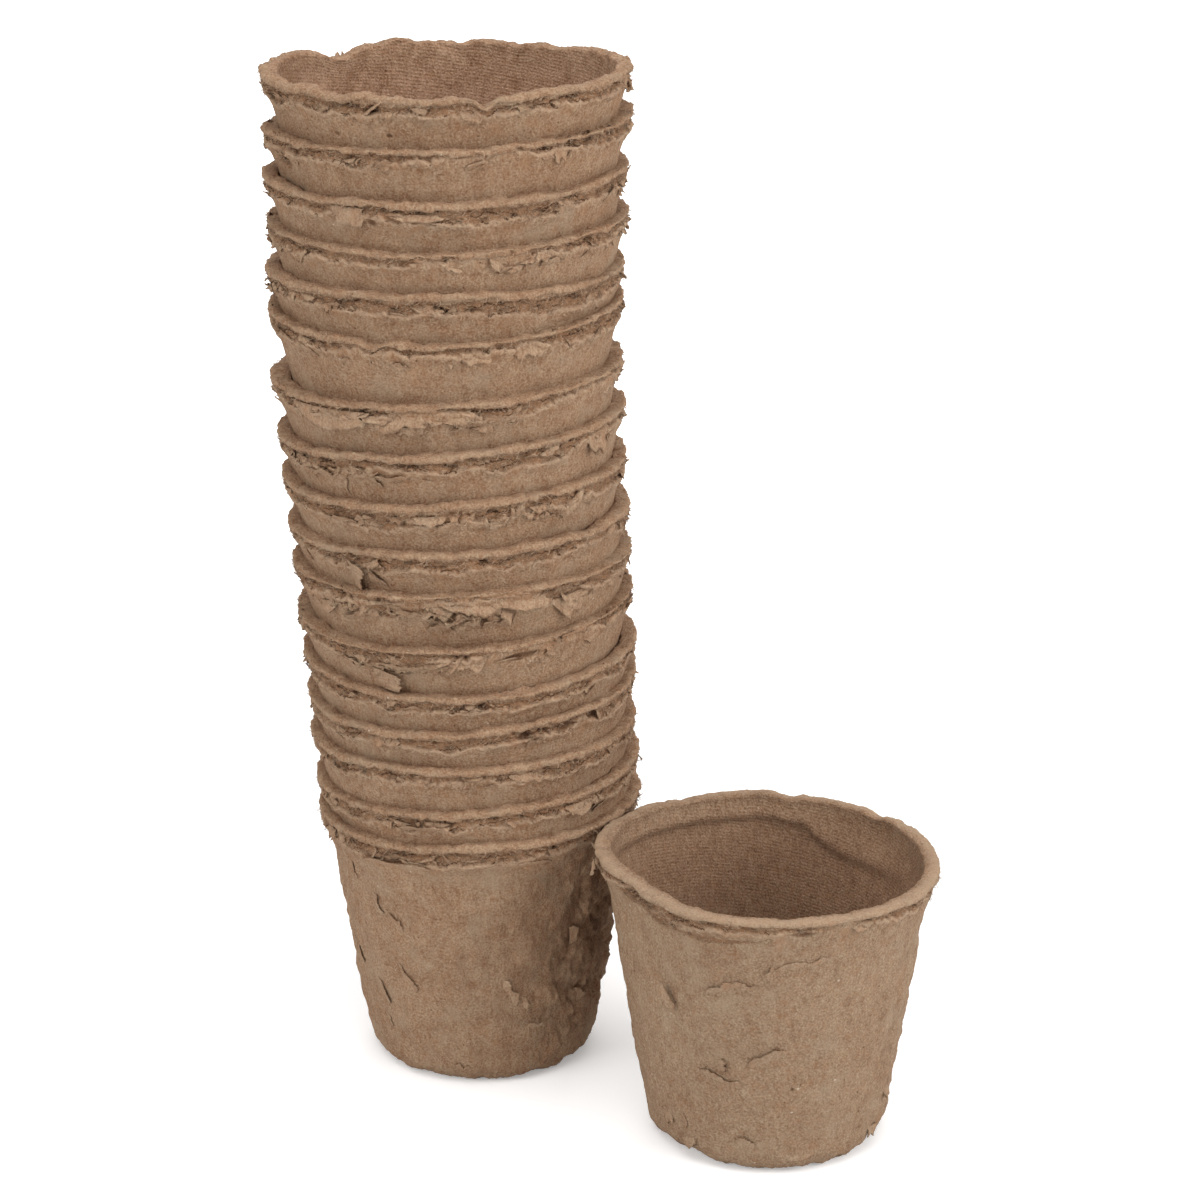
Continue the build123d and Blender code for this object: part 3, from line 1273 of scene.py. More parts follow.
@dataclass(frozen=True)
class PotSet:
    """The stack of nested pots and the single pot beside it.

    Args:
        size: Sizes of a pot.
        stack: Number of pots in the stack.
        strays: Number of small torn tongues on each pot.
        narrow_mouth: Share by which the lowest pot's mouth is wider from left to right than its solid's.
        wide_mouth: The same for the top pot.
    """

    size: PotSize
    stack: int = 17
    strays: int = 40
    narrow_mouth: float = -0.034
    wide_mouth: float = 0.044

    LIPS: ClassVar[dict[int, LipShape]] = {
        1: LipShape(rise=2.0, tip=1.6, bow=-1.6),
        2: LipShape(rise=0.6, tip=2.0, bow=-1.4),
        3: LipShape(rise=1.2, tip=0.7, bow=-1.4, shift=-0.8),
        4: LipShape(rise=0.0, tip=1.3, bow=0.0, shift=-0.35),
        5: LipShape(rise=-1.8, tip=-0.4, bow=0.5, shift=-0.25),
        6: LipShape(rise=-1.5, tip=0.25, bow=1.3, shift=-0.5),
        7: LipShape(rise=1.6, tip=-0.8, bow=-1.2, shift=-0.25),
        8: LipShape(rise=0.6, tip=-0.4, bow=-1.0, shift=-0.25),
        9: LipShape(rise=0.5, tip=0.0, bow=0.1, shift=-0.6),
        10: LipShape(rise=1.6, tip=0.7, bow=-0.8, shift=-0.7),
        11: LipShape(rise=1.6, tip=0.6, bow=0.0, shift=-1.45),
        12: LipShape(rise=4.0, tip=0.1, bow=2.3, shift=-1.45),
        13: LipShape(rise=4.0, tip=0.0, bow=-1.0, shift=-2.0),
        14: LipShape(rise=1.5, tip=0.7, bow=1.4, shift=-1.3),
        15: LipShape(rise=1.2, tip=0.6, bow=0.9, shift=-1.3),
        16: LipShape(rise=1.2, tip=1.4, bow=0.2, shift=-0.7),
        17: LipShape(rise=0.5, tip=0.25, bow=0.7, shift=-0.85),
    }
    LIP_WIDTHS: ClassVar[dict[int, float]] = {17: 3.5, 16: 3.9, 14: 4.0, 12: 4.6, 11: 4.6, 7: 4.1, 6: 4.1}
    SHREDS: ClassVar[dict[int, Sequence[Shreds]]] = {
        11: (Shreds(14, 901, -5, 24, (2.0, 4.6), (3.0, 10.0), (1.5, 3.4), (0.8, 1.8)),),
        10: (Shreds(12, 902, -40, 26, (2.6, 5.0), (3.0, 9.0), (1.5, 3.2), (0.8, 1.8)),),
        9: (Shreds(10, 903, 30, 26, (2.0, 4.2), (3.0, 9.0), (1.2, 2.8), (0.6, 1.4)),),
        7: (
            Shreds(22, 904, 2, 17, (2.0, 5.6), (3.0, 9.0), (2.0, 4.6), (1.2, 3.0)),
            Shreds(16, 905, -30, 24, (2.4, 5.4), (3.0, 9.0), (1.5, 3.6), (0.8, 2.2)),
        ),
        6: (Shreds(14, 906, -20, 20, (2.2, 4.8), (3.0, 10.0), (1.5, 3.0), (0.8, 1.8)),),
        1: (Shreds(14, 907, -14, 40, (2.4, 5.4), (2.5, 7.0), (0.5, 1.1), (0.05, 0.2)),),
    }
    MARKS: ClassVar[dict[int, Sequence[Mark]]] = {
        17: (
            Notch(-137, 9, 2.6, lean=-0.8),
            Notch(-160, 6, -0.7),
            Notch(178, 3, 0.5),
            Notch(169, 4, -0.5),
            Notch(157, 3, 0.5),
            Notch(143, 3, 0.4),
            Notch(-33, 8, 0.8),
            Notch(-25, 4, -0.6),
            Notch(14, 3.0, 1.7),
            Pit(-21, 3.2, 2.2, 0.5),
            Pit(-35, 9.0, 0.5, 0.4),
            Pit(-16, 8.5, 0.5, 0.4),
        ),
        16: (Tear(-61, 5.0, 4.0, 1.8, seed=3),),
        15: (Pit(-21, 4.6, 1.0, 0.8),),
        12: (Notch(-21, 4, 1.0), Notch(-14, 5, -0.8)),
        7: (
            Tear(-73, 4.5, 3.0, 2.6, seed=5),
            Tear(38, 3.0, 7.0, 2.3, seed=6),
            Tear(3, 4.5, 8.0, 2.0, seed=7),
            Tear(-28, 4.6, 9.0, 1.7, seed=9),
        ),
        6: (Pit(22, 3.0, 4.6, 0.8), Tear(-24, 4.2, 11.0, 1.7, seed=10)),
        5: (Pit(7, 3.0, 1.1, 0.9),),
        4: (Pit(20, 2.9, 2.0, 0.8), Pit(36, 2.8, 2.6, 0.9), Pit(48, 2.6, 1.6, 0.8)),
        1: (
            Tear(-36, 4.6, 9.0, 1.2, seed=8),
            Crumple(62, 33, 18, 28, 1.9, seed=40, grain=3.2),
            Crumple(48, 36, 9, 22, 0.7, seed=41, grain=4.5),
            Crumple(66, 33, 17, 28, 0.9, seed=50, grain=1.9),
            DarkPatches(50, 28, 22, 26, 0.8, seed=51, grain=4.2),
            Crumple(-10, 36, 24, 26, 0.4, seed=45, grain=5.0),
            Crumple(112, 33, 16, 28, 1.6, seed=42),
            Crumple(-80, 36, 14, 28, 0.7, seed=43),
        ),
    }
    FLAPS: ClassVar[dict[int, Sequence[Flap]]] = {
        17: (
            Flap(86, 2.6, 4.0, 3.4, 1.8, seed=21),
            Flap(-141, 4.0, 4.5, 3.2, 0.8, 186.0, seed=37, taper=0.4),
            Flap.edge(16, 3.6, 5.0, 60.0, 0.6),
        ),
        16: (
            Flap(-84, 2.2, 5.0, 4.0, 2.2, seed=22),
            Flap(39, 2.4, 3.6, 3.6, 1.6, seed=23),
        ),
        15: (
            Flap(-29, 1.6, 8.0, 4.6, 1.2, seed=24, taper=0.1, ragged=0.2),
            Flap(-8, 2.4, 12.0, 1.8, 1.2, seed=36, ragged=0.3),
        ),
        12: (Flap(12, 2.6, 7.0, 2.4, 1.4, seed=51), Flap(30, 2.4, 9.0, 2.6, 1.4, seed=52)),
        11: (
            Flap(-41, 1.6, 22.0, 8.0, 2.6, seed=25),
            Flap(-12, 2.2, 16.0, 4.2, 2.0, seed=26),
            Flap(12, 4.8, 12.0, 2.4, 1.6, 180.0, seed=53),
        ),
        10: (
            Flap(-50, 6.6, 12.0, 3.4, 2.0, 180.0, seed=27),
            Flap(-14, 6.4, 14.0, 2.8, 1.6, 180.0, seed=54),
            Flap(58, 2.2, 8.0, 6.0, 2.4, seed=55),
            Flap.edge(-33, 8.5, 6.5, 8.0, 0.4),
        ),
        9: (Flap(-40, 5.2, 11.0, 2.4, 1.4, 180.0, seed=56), Flap(-5, 2.2, 8.0, 2.4, 1.4, seed=57)),
        8: (
            Flap(-39, 5.6, 6.8, 5.8, 2.4, 88.0, seed=28, taper=0.1, ragged=0.2),
            Flap(-27, 9.0, 7.0, 5.0, 2.0, 172.0, seed=58, taper=0.85, ragged=0.2),
        ),
        7: (
            Flap(-50, 4.0, 14.0, 3.8, 1.5, 10.0, seed=59, taper=0.6, ragged=0.3),
            Flap(4, 2.0, 14.0, 4.6, 2.8, seed=29),
            Flap(1, 8.0, 9.0, 4.2, 3.0, 190.0, seed=60, taper=0.5),
            Flap(22, 2.0, 12.0, 3.4, 2.0, seed=61),
            Flap(40, 3.6, 9.5, 6.0, 1.6, 6.0, seed=30, taper=0.35, ragged=0.25),
        ),
        6: (
            Flap(-34, 7.4, 5.2, 9.5, 1.9, 86.0, seed=31, taper=0.05, ragged=0.06),
            Flap(-18, 5.6, 15.0, 3.0, 1.8, 180.0, seed=62),
            Flap(2, 2.0, 10.0, 3.4, 1.8, seed=63),
        ),
        4: (Flap(24, 5.8, 5.0, 3.0, 1.6, 190.0, seed=64), Flap(-30, 2.2, 9.0, 2.4, 1.4, seed=65)),
        3: (Flap(20, 2.2, 8.0, 2.6, 1.6, seed=66), Flap(-50, 5.4, 9.0, 2.6, 1.5, 180.0, seed=67)),
        2: (Flap(-15, 5.2, 14.0, 2.4, 1.5, 180.0, seed=68), Flap(40, 2.2, 8.0, 3.4, 1.6, seed=69)),
        1: (
            Flap(-66, 2.4, 5.0, 3.4, 1.8, seed=32),
            Flap(-30, 7.0, 24.0, 2.2, 0.5, 180.0, seed=70, ragged=0.35),
            Flap(10, 6.6, 22.0, 2.0, 0.45, 180.0, seed=71, ragged=0.35),
            Flap(66, 61.0, 5.0, 3.0, 0.9, 0.0, seed=72),
            Flap.edge(-40, 18, 6.0, 22.0),
            Flap.edge(-32, 21, 5.5, 46.0),
            Flap.edge(-61, 37, 5.5, 28.0),
            Flap.edge(-29, 37, 8.5, 31.0),
            Flap.edge(-46, 43, 7.5, 24.0),
            Flap.edge(-45, 52, 3.5, 9.0),
            Flap.edge(18, 40, 8.0, 24.0, 0.4),
            Flap.edge(24, 43, 4.5, 12.0, 0.4),
            Flap.edge(28, 49, 5.0, 85.0, 0.4),
            Flap.edge(-5, 60, 5.0, 80.0, 0.15),
            Flap.edge(-52, 12, 5.0, 15.0, 0.3),
            Flap.edge(47, 28, 5.0, 8.0, 0.3),
            Flap.edge(54, 45, 5.5, 30.0, 0.35),
        ),
    }
    SINGLE_MARKS: ClassVar[Sequence[Mark]] = (
        Dent(-60, 0.0, 18, 26, 4.8),
        Dent(-27, 0.0, 7, 14, -0.9),
        Tear(-62, 4.0, 7.0, 1.3, seed=11),
        Tear(-44, 4.6, 9.0, 1.7, seed=12),
        Tear(-22, 5.4, 8.0, 0.9, seed=13, depth=0.3),
        Fold(
            (
                (104, 11.0, 0.0, 4.0),
                (120, 11.2, 1.0, 3.4),
                (141, 11.4, 1.5, 2.2),
                (151, 10.4, 1.7, 1.4),
                (157, 8.4, 1.6, 0.9),
                (162, 6.0, 1.3, 0.7),
                (170, 5.6, 1.0, 0.6),
                (215, 5.6, 1.1, 0.5),
                (245, 5.2, 0.8, 0.7),
                (258, 5.0, 0.0, 0.8),
            )
        ),
        Notch(168, 4, 0.9),
        Notch(-152, 4, 0.6),
        Notch(178, 5, -0.5),
        Notch(132, 4, 0.7),
        Crumple(84, 36, 22, 30, 0.75, seed=44, grain=4.2),
        Crumple(-88, 36, 14, 30, 0.5, seed=46),
        Pit(8, 42.7, 0.45, 0.45),
        Pit(-56, 3.4, 6.5, 0.8),
        Pit(9, 2.9, 2.8, 0.5),
        Dent(-44, 65.0, 3.0, 4.0, 1.6),
        Dent(60, 63.0, 3.0, 3.5, 1.4),
        Dent(128, 5.0, 5.0, 4.0, -0.9),
    )
    SINGLE_FLAPS: ClassVar[Sequence[Flap]] = (
        Flap(-88, 2.4, 5.0, 2.6, 1.2, seed=33),
        Flap(30, 2.4, 5.0, 1.8, 0.9, seed=34),
        Flap.edge(-20, 15.7, 7.0, 119.0),
        Flap.edge(-8.5, 15.0, 6.5, 84.0),
        Flap.edge(-4.2, 12.8, 4.5, 176.0, 0.4),
        Flap.edge(8, 9.5, 13.0, 96.0, 0.3),
        Flap.edge(-46, 25, 6.0, 215.0, 0.3),
        Flap.edge(-21, 39.5, 11.0, 72.0, 0.6),
        Flap.edge(-18, 37.5, 3.5, 8.0, 0.4),
        Flap.edge(-5.5, 33.7, 9.0, 112.0),
        Flap.edge(-12, 56, 5.0, 70.0, 0.4),
        Flap.edge(-40, 55, 4.0, 5.0, 0.4),
        Flap(-43, 60.0, 6.0, 3.0, 0.9, 25.0, seed=38, taper=0.25),
        Flap(-54, 55.0, 4.0, 4.0, 0.9, 20.0, seed=39, taper=0.4),
        Flap(58, 60.0, 5.5, 3.0, 1.0, -15.0, seed=47, taper=0.25),
        Flap(66, 52.0, 3.5, 3.0, 0.9, 0.0, seed=48, taper=0.4),
        Flap(14, 60.5, 7.0, 2.4, 0.7, 4.0, seed=49),
    )

    def _shreds(self, number: int) -> list[Flap]:
        """Small torn tongues all round a pot, and longer ones at the ends that the camera sees edge-on."""
        seed = 10 * number
        groups = [
            Shreds(self.strays // 5 if number == 1 else self.strays, seed),
            Shreds(3, seed + 1, 86.0, 9.0, width=(1.5, 4.0), length=(1.0, 2.4), lift=(0.8, 1.6)),
            Shreds(3, seed + 2, -86.0, 9.0, width=(1.5, 4.0), length=(1.0, 2.4), lift=(0.8, 1.6)),
            *self.SHREDS.get(number, ()),
        ]
        return [flap for group in groups for flap in group.flaps()]

    def _show(self, number: int) -> Show:
        """How much is seen of a pot in the stack, counted from the bottom."""
        return {1: Show.BOTTOM, self.stack: Show.TOP}.get(number, Show.NESTED)

    def pots(self) -> list[MouldedPot]:
        """Lists the pots, the stack from the bottom upwards and then the single one."""
        mouths = np.linspace(self.narrow_mouth, self.wide_mouth, self.stack)
        pots = [
            MouldedPot(
                node=f"stack_pot_{number:02d}",
                size=self.size,
                show=self._show(number),
                seed=number,
                spread=mouths[number - 1],
                lip=self.LIPS[number],
                lip_width=self.LIP_WIDTHS.get(number, 3.6),
                marks=self.MARKS.get(number, ()),
                flaps=[*self.FLAPS.get(number, ()), *self._shreds(number)],
            )
            for number in range(1, self.stack + 1)
        ]
        pots.append(
            MouldedPot(
                node="single_pot",
                size=self.size,
                show=Show.SINGLE,
                seed=self.stack + 1,
                lip=LipShape(rise=2.0, tip=-0.5, nod=1.2, shift=-1.5),
                lip_width=3.5,
                lip_fray=1.2,
                torn_width=1.8,
                torn_share=0.55,
                marks=self.SINGLE_MARKS,
                flaps=self.SINGLE_FLAPS,
            )
        )
        return pots


class FinishMaker(NodeMaker):
    """Builds a surface material from nodes."""

    def __init__(self, name: str) -> None:
        """Starts an empty material."""
        self.material = bpy.data.materials.new(name)
        self.material.use_nodes = True
        super().__init__(self.material.node_tree)
        self.tree.nodes.clear()

    def place(self) -> bpy.types.NodeSocket:
        """Place on the object, in metres."""
        return self.add("ShaderNodeTexCoord", {}).outputs["Object"]

    def attribute(self, name: str) -> Value:
        """Reads a number stored on the points."""
        return Value(self, self.add("ShaderNodeAttribute", {}, attribute_name=name).outputs["Fac"])

    def mix(self, share: Any, first: Any, second: Any) -> bpy.types.NodeSocket:
        """Mixes two colours, each a socket or three numbers."""
        colours = [c if isinstance(c, bpy.types.NodeSocket) else (*c, 1.0) for c in (first, second)]
        inputs = {"Factor": share, "A": colours[0], "B": colours[1]}
        return in_use(self.add("ShaderNodeMix", inputs, data_type="RGBA").outputs, "Result")

    def output(self, surface: bpy.types.NodeSocket) -> bpy.types.Material:
        """Links the surface to the material's output and returns the material."""
        self.add("ShaderNodeOutputMaterial", {"Surface": surface})
        return self.material


@dataclass(frozen=True)
class PulpFinish:
    """Bare moulded fibre: dull and speckled, redder where its skin is torn, with a screen's print inside.

    Args:
        name: Name of the material.
        skin_low: Darkest colour of the outside.
        skin_high: Palest colour of the outside.
        inside_low: Darkest colour of the inside, partly painted shade.
        inside_high: Palest colour of the inside, partly painted shade.
        core: Colour of the fibre under the skin, of redder patches, and of the darker patches under the lip,
            which are partly painted shade.
        ash: Colour of greyer stretches.
        pale: Colour of loose fibre, torn edges and flaps, and of the paler lip with its painted highlight.
        dark: Colour of the shade painted into hollows, cracks, pits and creases, of darker patches and of
            dark specks.
        fleck: Colour of pale specks.
        roughness: Roughness of the surface.
        gloss: Strength of its shine.
        print_pitch: Distance between the wires of the screen, in millimetres.
        print_depth: Depth of the print, in millimetres.
        print_shade: How much the print shows in the colour.
        mottle: How much more mottled the inside is than the outside.
        lip_pale_and_highlight: How much paler the lip is than the wall: partly its own paler tone, partly a
            painted highlight on its top.
    """

    name: str
    skin_low: Colour
    skin_high: Colour
    inside_low: Colour = (0.168, 0.083, 0.045)
    inside_high: Colour = (0.402, 0.251, 0.165)
    core: Colour = (0.288, 0.147, 0.074)
    ash: Colour = (0.315, 0.232, 0.156)
    pale: Colour = (0.48, 0.345, 0.234)
    dark: Colour = (0.082, 0.034, 0.015)
    fleck: Colour = (0.62, 0.55, 0.45)
    roughness: float = 0.93
    gloss: float = 0.18
    print_pitch: float = 0.8
    print_depth: float = 0.05
    print_shade: float = 0.16
    mottle: float = 1.3
    lip_pale_and_highlight: float = 0.0

    def material(self) -> bpy.types.Material:
        """Builds the material."""
        maker = FinishMaker(self.name)
        place = maker.place()
        inside, torn = maker.attribute("inside"), maker.attribute("torn")
        printed = self._screen_print(maker)
        upright = maker.vector("MULTIPLY", place, (1.0, 1.0, 0.28))
        fine = maker.noise(place, 0.5 * MM, 3.0, 3.0, 0.6)
        streaks = maker.noise(upright, 0.9 * MM, 5.0, 2.0, 0.6)
        shaded_cracks = self._cracks(maker, place) * torn.step(0.1, 0.5)
        colour = self._colour(maker, place, fine * 2.3 + streaks * 0.65, printed)
        # Painted shade in the thin gaps between the torn layers.
        colour = maker.mix(shaded_cracks * 0.85, colour, self.dark)
        torn_fibres = maker.noise(place, 0.45 * MM, 7.0, 3.0, 0.7)
        height = fine * 0.4 + streaks * 0.25 + printed * inside * self.print_depth
        height = height + torn_fibres * torn * 0.7 - shaded_cracks * 0.25
        bump = maker.add("ShaderNodeBump", {"Strength": 1.0, "Distance": 1 * MM, "Height": height})
        surface = maker.add(
            "ShaderNodeBsdfPrincipled",
            {
                "Base Color": colour,
                "Roughness": self.roughness,
                "Specular IOR Level": self.gloss,
                "Normal": bump.outputs[0],
            },
        )
        return maker.output(surface.outputs[0])

    def _cracks(self, maker: FinishMaker, place: bpy.types.NodeSocket) -> Value:
        """Long thin gaps between the torn layers, which get painted shade and a shallow groove: 1 in a gap, 0
        elsewhere.
        """
        ring = maker.vector("MULTIPLY", place, (1.0, 1.0, 0.0))
        drop = maker.attribute("drop")
        gaps = []
        for level, seed in ((3.2 * MM, 41.0), (4.4 * MM, 44.0), (5.6 * MM, 47.0)):
            line = maker.noise(ring, 7 * MM, seed, 5.0, 0.75) * (6 * MM) + level
            there = maker.noise(ring, 8 * MM, seed + 1.0, 2.0, 0.5).step(-0.02, 0.06)
            gaps.append((1.0 - (drop - line).absolute().step(0.05 * MM, 0.17 * MM)) * there)
        return (gaps[0] + gaps[1] + gaps[2]).clamped(0.0, 1.0)

    def _screen_print(self, maker: FinishMaker) -> Value:
        """Print of the woven screen that the pulp was drawn onto, between -1 and 1, and 0 on the floor."""
        wall = maker.add("ShaderNodeUVMap", {}, uv_map="wall").outputs[0]
        split = maker.add("ShaderNodeSeparateXYZ", {0: wall})
        across, down = Value(maker, split.outputs[0]), Value(maker, split.outputs[1])
        turn = math.tau / self.print_pitch
        weft = ((down + across * 0.15) * turn).sine()
        warp = ((across - down * 0.15) * (turn * 0.85)).sine()
        return (weft * 0.6 + weft * warp * 0.4) * (1.0 - down.step(64.0, 74.0))

    def _colour(
        self, maker: FinishMaker, place: bpy.types.NodeSocket, speckle: Value, printed: Value
    ) -> bpy.types.NodeSocket:
        """Colour of the fibre all over a pot, with painted shade in its hollows, cracks, pits and creases,
        under its lip and deeper inside, and a painted highlight on the single pot's lip.

        Args:
            maker: Material that it goes into.
            place: Place on the object.
            speckle: Fine noise that the bump has too.
            printed: Print of the screen.

        Returns:
            The colour.
        """
        inside, torn, drop = (maker.attribute(name) for name in ("inside", "torn", "drop"))
        outside = 1.0 - inside
        cloud = maker.noise(place, 11 * MM, 1.0, 4.0, 0.6)
        blotch = maker.noise(place, 2.6 * MM, 2.0, 3.0, 0.65)
        below_lip = drop.step(2.5 * MM, 3.5 * MM) * (1.0 - drop.step(6 * MM, 12 * MM)) * outside
        hanging = maker.vector("MULTIPLY", place, (1.0, 1.0, 0.12))
        drips = maker.noise(hanging, 0.8 * MM, 31.0, 2.0, 0.6) * below_lip
        share = cloud * 0.55 + blotch * 0.8 + speckle + drips * 1.2 + 0.5
        colour = maker.mix(share.clamped(0.0, 1.0), self.skin_low, self.skin_high)
        share = share + (cloud * 0.6 + blotch * 0.5) * self.mottle + printed * self.print_shade
        lining_and_shade = maker.mix(share.clamped(0.0, 1.0), self.inside_low, self.inside_high)
        # The inside takes half the lining colour at the lip and all of it from 15 mm down: partly the
        # inside's own redder tone, partly painted shade deeper in the pot.
        colour = maker.mix(inside * (drop.step(2 * MM, 15 * MM) * 0.5 + 0.5), colour, lining_and_shade)
        ruddy = maker.noise(place, 1.6 * MM, 35.0, 3.0, 0.65).step(-0.05, 0.22) * 0.35
        colour = maker.mix(ruddy, colour, self.core)
        tint = maker.noise(place, 7 * MM, 37.0, 4.0, 0.6)
        colour = maker.mix(tint.step(0.02, 0.25) * outside * 0.22, colour, self.core)
        colour = maker.mix((tint * -1.0).step(0.0, 0.22) * outside * 0.5, colour, self.ash)
        # The lip is mixed towards pale: partly its own paler tone, partly a painted highlight on its top.
        lip = 1.0 - drop.step(1.6 * MM, 3.2 * MM)
        colour = maker.mix(lip * outside * self.lip_pale_and_highlight, colour, self.pale)
        # The band under the lip darkens towards the core colour in patches: partly its own redder tone,
        # partly painted shade under the lip.
        under_lip_tone_and_shade = maker.noise(place, 5 * MM, 33.0, 3.0, 0.6).step(0.0, 0.2) * below_lip * 0.5
        colour = maker.mix(under_lip_tone_and_shade, colour, self.core)
        colour = maker.mix(torn * (blotch * 1.5 + 0.6).clamped(0.0, 1.0), colour, self.core)
        matted = maker.vector("MULTIPLY", place, (0.45, 0.45, 1.0))
        # Painted shade in the hollows of the torn band, darker where the tear is deeper.
        hollow_shade = maker.noise(matted, 0.65 * MM, 19.0, 3.0, 0.65) + maker.attribute("deep") * 0.16
        colour = maker.mix(hollow_shade.step(0.16, 0.32) * torn * 0.85, colour, self.dark)
        strands = maker.noise(matted, 0.36 * MM, 23.0, 2.0, 0.6)
        colour = maker.mix(strands.step(0.05, 0.16) * torn * 0.7, colour, self.pale)
        colour = maker.mix(maker.attribute("edge") * 0.4, colour, self.pale)
        colour = maker.mix(maker.attribute("flap") * 0.15, colour, self.pale)
        colour = maker.mix(maker.attribute("fibre") * 0.6, colour, self.pale)
        colour = maker.mix(self._specks(maker, place, 3.4 * MM, 0.09, 0.3) * 0.75, colour, self.dark)
        colour = maker.mix(self._specks(maker, place, 4.6 * MM, 0.07, 0.3) * 0.5, colour, self.fleck)
        # Painted shade in pits and creases, and darker patches, from the stored shares.
        return maker.mix(maker.attribute("pit") * 0.75, colour, self.dark)

    def _specks(
        self, maker: FinishMaker, place: bpy.types.NodeSocket, gap: float, size: float, share: float
    ) -> Value:
        """Round specks scattered over the fibre.

        Args:
            maker: Material that they go into.
            place: Place on the object.
            gap: Distance between places where a speck may be, in metres.
            size: Radius of a speck as a share of that distance.
            share: Share of the places that have one.

        Returns:
            1 on a speck, 0 elsewhere.
        """
        cells = maker.add("ShaderNodeTexVoronoi", {"Vector": place, "Scale": 1 / gap, "Randomness": 1.0})
        near = 1.0 - Value(maker, cells.outputs["Distance"]).step(size * 0.6, size)
        pick = maker.add("ShaderNodeSeparateColor", {"Color": cells.outputs["Color"]})
        return near * Value(maker, pick.outputs[0]).step(1.0 - share, 1.01 - share)


@dataclass(frozen=True)
class Lamp:
    """A softbox: where it hangs, how large it is and how strong, all aimed at one point."""

    name: str
    place: tuple[float, float, float]
    size: float
    watts: float

    def hang(self, aim: Vector) -> None:
        """Adds the softbox to the scene."""
        data = bpy.data.lights.new(self.name, "AREA")
        data.energy = self.watts
        data.shape = "SQUARE"
        data.size = self.size
        lamp = bpy.data.objects.new(self.name, data)
        lamp.location = self.place
        lamp.rotation_euler = (aim - Vector(self.place)).to_track_quat("-Z", "Y").to_euler()
        bpy.context.scene.collection.objects.link(lamp)


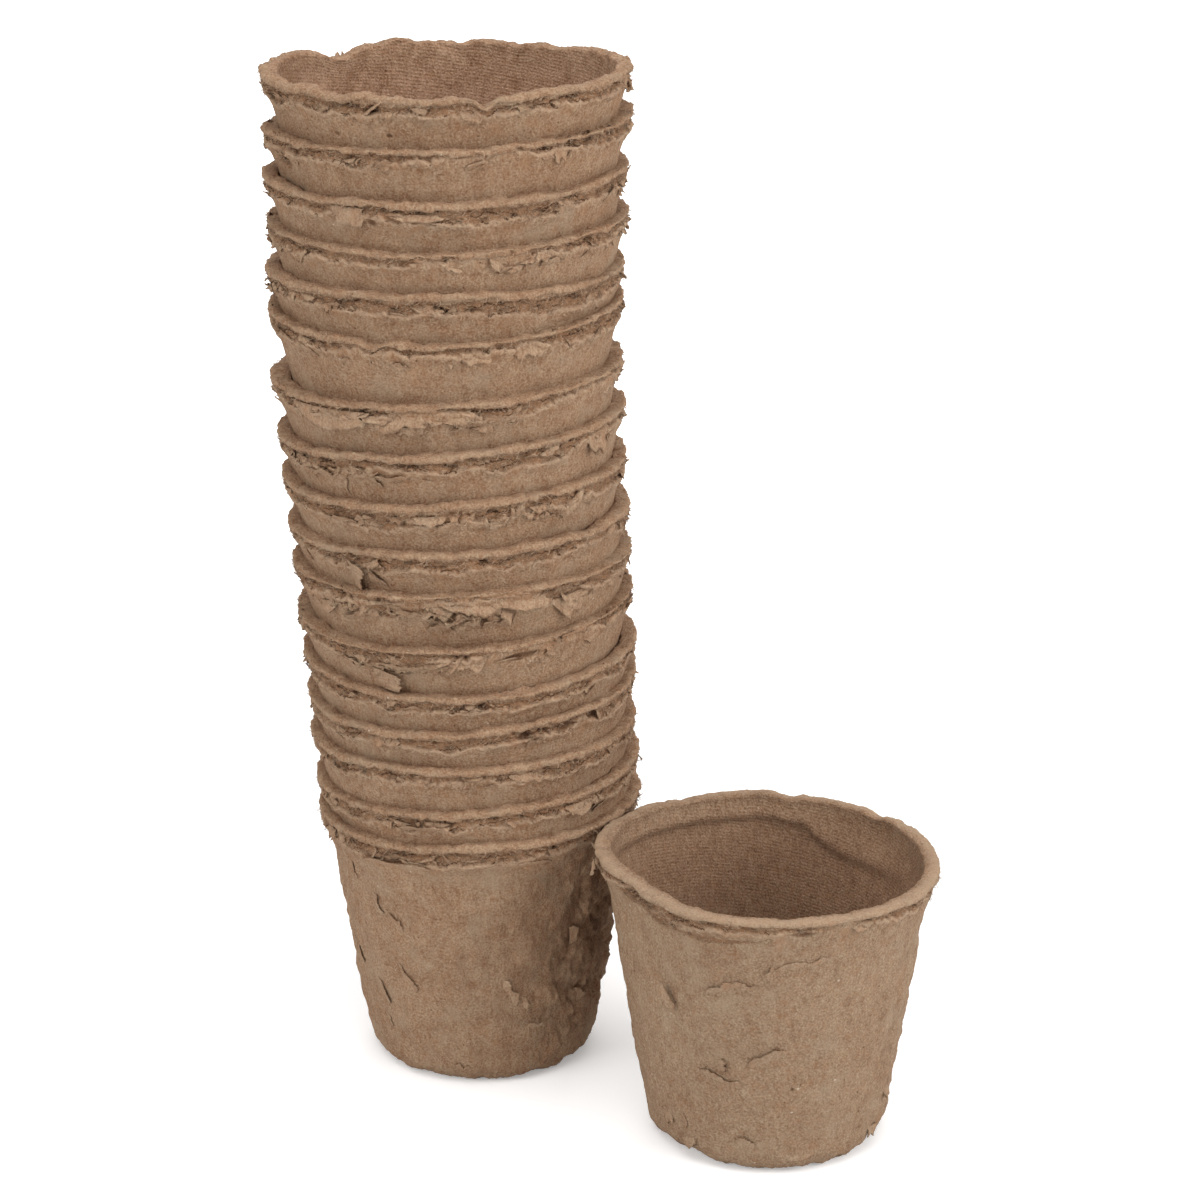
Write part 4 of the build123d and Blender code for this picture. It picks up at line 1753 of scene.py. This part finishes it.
@dataclass(frozen=True)
class Studio:
    """A pale floor that fades to white, soft light from above and the sides, and the camera."""

    camera_place: tuple[float, float, float] = (0.0291, -0.6723, 0.3506)
    camera_pitch: float = 19.34
    lens: float = 90.0
    sensor: float = 36.0
    floor_half: float = 6.0
    floor_colour: Colour = (0.86, 0.86, 0.86)
    sky: float = 0.42
    aim: tuple[float, float, float] = (0.02, 0.0, 0.1)
    lamps: tuple[Lamp, ...] = (
        Lamp("overhead softbox", (0.0, -0.4, 1.05), 0.9, 8.0),
        Lamp("left softbox", (-1.1, -0.8, 0.72), 0.8, 8.4),
        Lamp("right softbox", (1.25, -0.55, 0.66), 0.8, 13.5),
        Lamp("back softbox", (0.1, 1.3, 0.8), 0.9, 7.0),
    )

    def build(self) -> None:
        """Sets the scene up round the pots."""
        self._camera()
        self._floor()
        self._sky()
        for lamp in self.lamps:
            lamp.hang(Vector(self.aim))
        bpy.context.scene.view_settings.view_transform = "Standard"

    def _camera(self) -> None:
        """Stands the camera where the photograph was taken from."""
        data = bpy.data.cameras.new("camera")
        data.lens = self.lens
        data.sensor_width = self.sensor
        camera = bpy.data.objects.new("camera", data)
        camera.location = self.camera_place
        camera.rotation_euler = (math.radians(90.0 - self.camera_pitch), 0.0, 0.0)
        bpy.context.scene.collection.objects.link(camera)
        bpy.context.scene.camera = camera

    def _floor(self) -> None:
        """Lays the floor: white to the camera far from the pots, with their shadow near them."""
        maker = FinishMaker("studio_floor")
        rays = maker.add("ShaderNodeLightPath", {})
        reach = maker.add("ShaderNodeVectorMath", {0: maker.place()}, operation="LENGTH")
        far = Value(maker, reach.outputs["Value"])
        glow = far.step(0.1, 0.5) * 0.75 + 0.28
        seen = Value(maker, rays.outputs["Is Camera Ray"])
        matt = maker.add("ShaderNodeBsdfDiffuse", {"Color": (*self.floor_colour, 1.0)})
        light = maker.add("ShaderNodeEmission", {"Color": (1.0, 1.0, 1.0, 1.0), "Strength": glow * seen})
        both = maker.add("ShaderNodeAddShader", {0: matt.outputs[0], 1: light.outputs[0]})
        half = self.floor_half
        mesh = bpy.data.meshes.new("floor")
        corners = [(-half, -half, 0), (half, -half, 0), (half, half, 0), (-half, half, 0)]
        mesh.from_pydata(corners, [], [(0, 1, 2, 3)])
        mesh.materials.append(maker.output(both.outputs[0]))
        floor = bpy.data.objects.new("floor", mesh)
        bpy.context.scene.collection.objects.link(floor)

    def _sky(self) -> None:
        """Makes the surroundings white to the camera and grey as a light."""
        world = bpy.data.worlds.new("surroundings")
        bpy.context.scene.world = world
        world.use_nodes = True
        maker = NodeMaker(world.node_tree)
        world.node_tree.nodes.clear()
        seen = Value(maker, maker.add("ShaderNodeLightPath", {}).outputs["Is Camera Ray"])
        inputs = {"Color": (1.0, 1.0, 1.0, 1.0), "Strength": seen * (1.0 - self.sky) + self.sky}
        background = maker.add("ShaderNodeBackground", inputs)
        maker.add("ShaderNodeOutputWorld", {"Surface": background.outputs[0]})


def main() -> None:
    """Builds the pots and the studio."""
    logging.basicConfig(level=logging.INFO, format="%(message)s")
    size = PotSize.from_frame("stack_pot_01")
    stack_pulp = PulpFinish(
        "warm_pulp",
        skin_low=(0.184, 0.088, 0.045),
        skin_high=(0.396, 0.28, 0.181),
    ).material()
    single_pulp = PulpFinish(
        "grey_pulp",
        skin_low=(0.172, 0.089, 0.048),
        skin_high=(0.366, 0.268, 0.177),
        inside_low=(0.137, 0.07, 0.0375),
        inside_high=(0.338, 0.216, 0.138),
        print_depth=0.036,
        print_shade=0.12,
        mottle=-0.5,
        # The single pot's lip is paler, partly its own tone and partly a painted highlight on its top.
        lip_pale_and_highlight=0.28,
    ).material()
    shells, fibres = ShellTree(size.rim_radius), FibreTree()
    total = 0
    for pot in PotSet(size).pots():
        piece = pot.build(shells, fibres, single_pulp if pot.show is Show.SINGLE else stack_pulp)
        piece.data.calc_loop_triangles()
        total += len(piece.data.loop_triangles)
        LOG.info("%s: %d triangles", piece.name, len(piece.data.loop_triangles))
    LOG.info("pots: %d triangles", total)
    Studio().build()


if __name__ == "__main__":
    main()
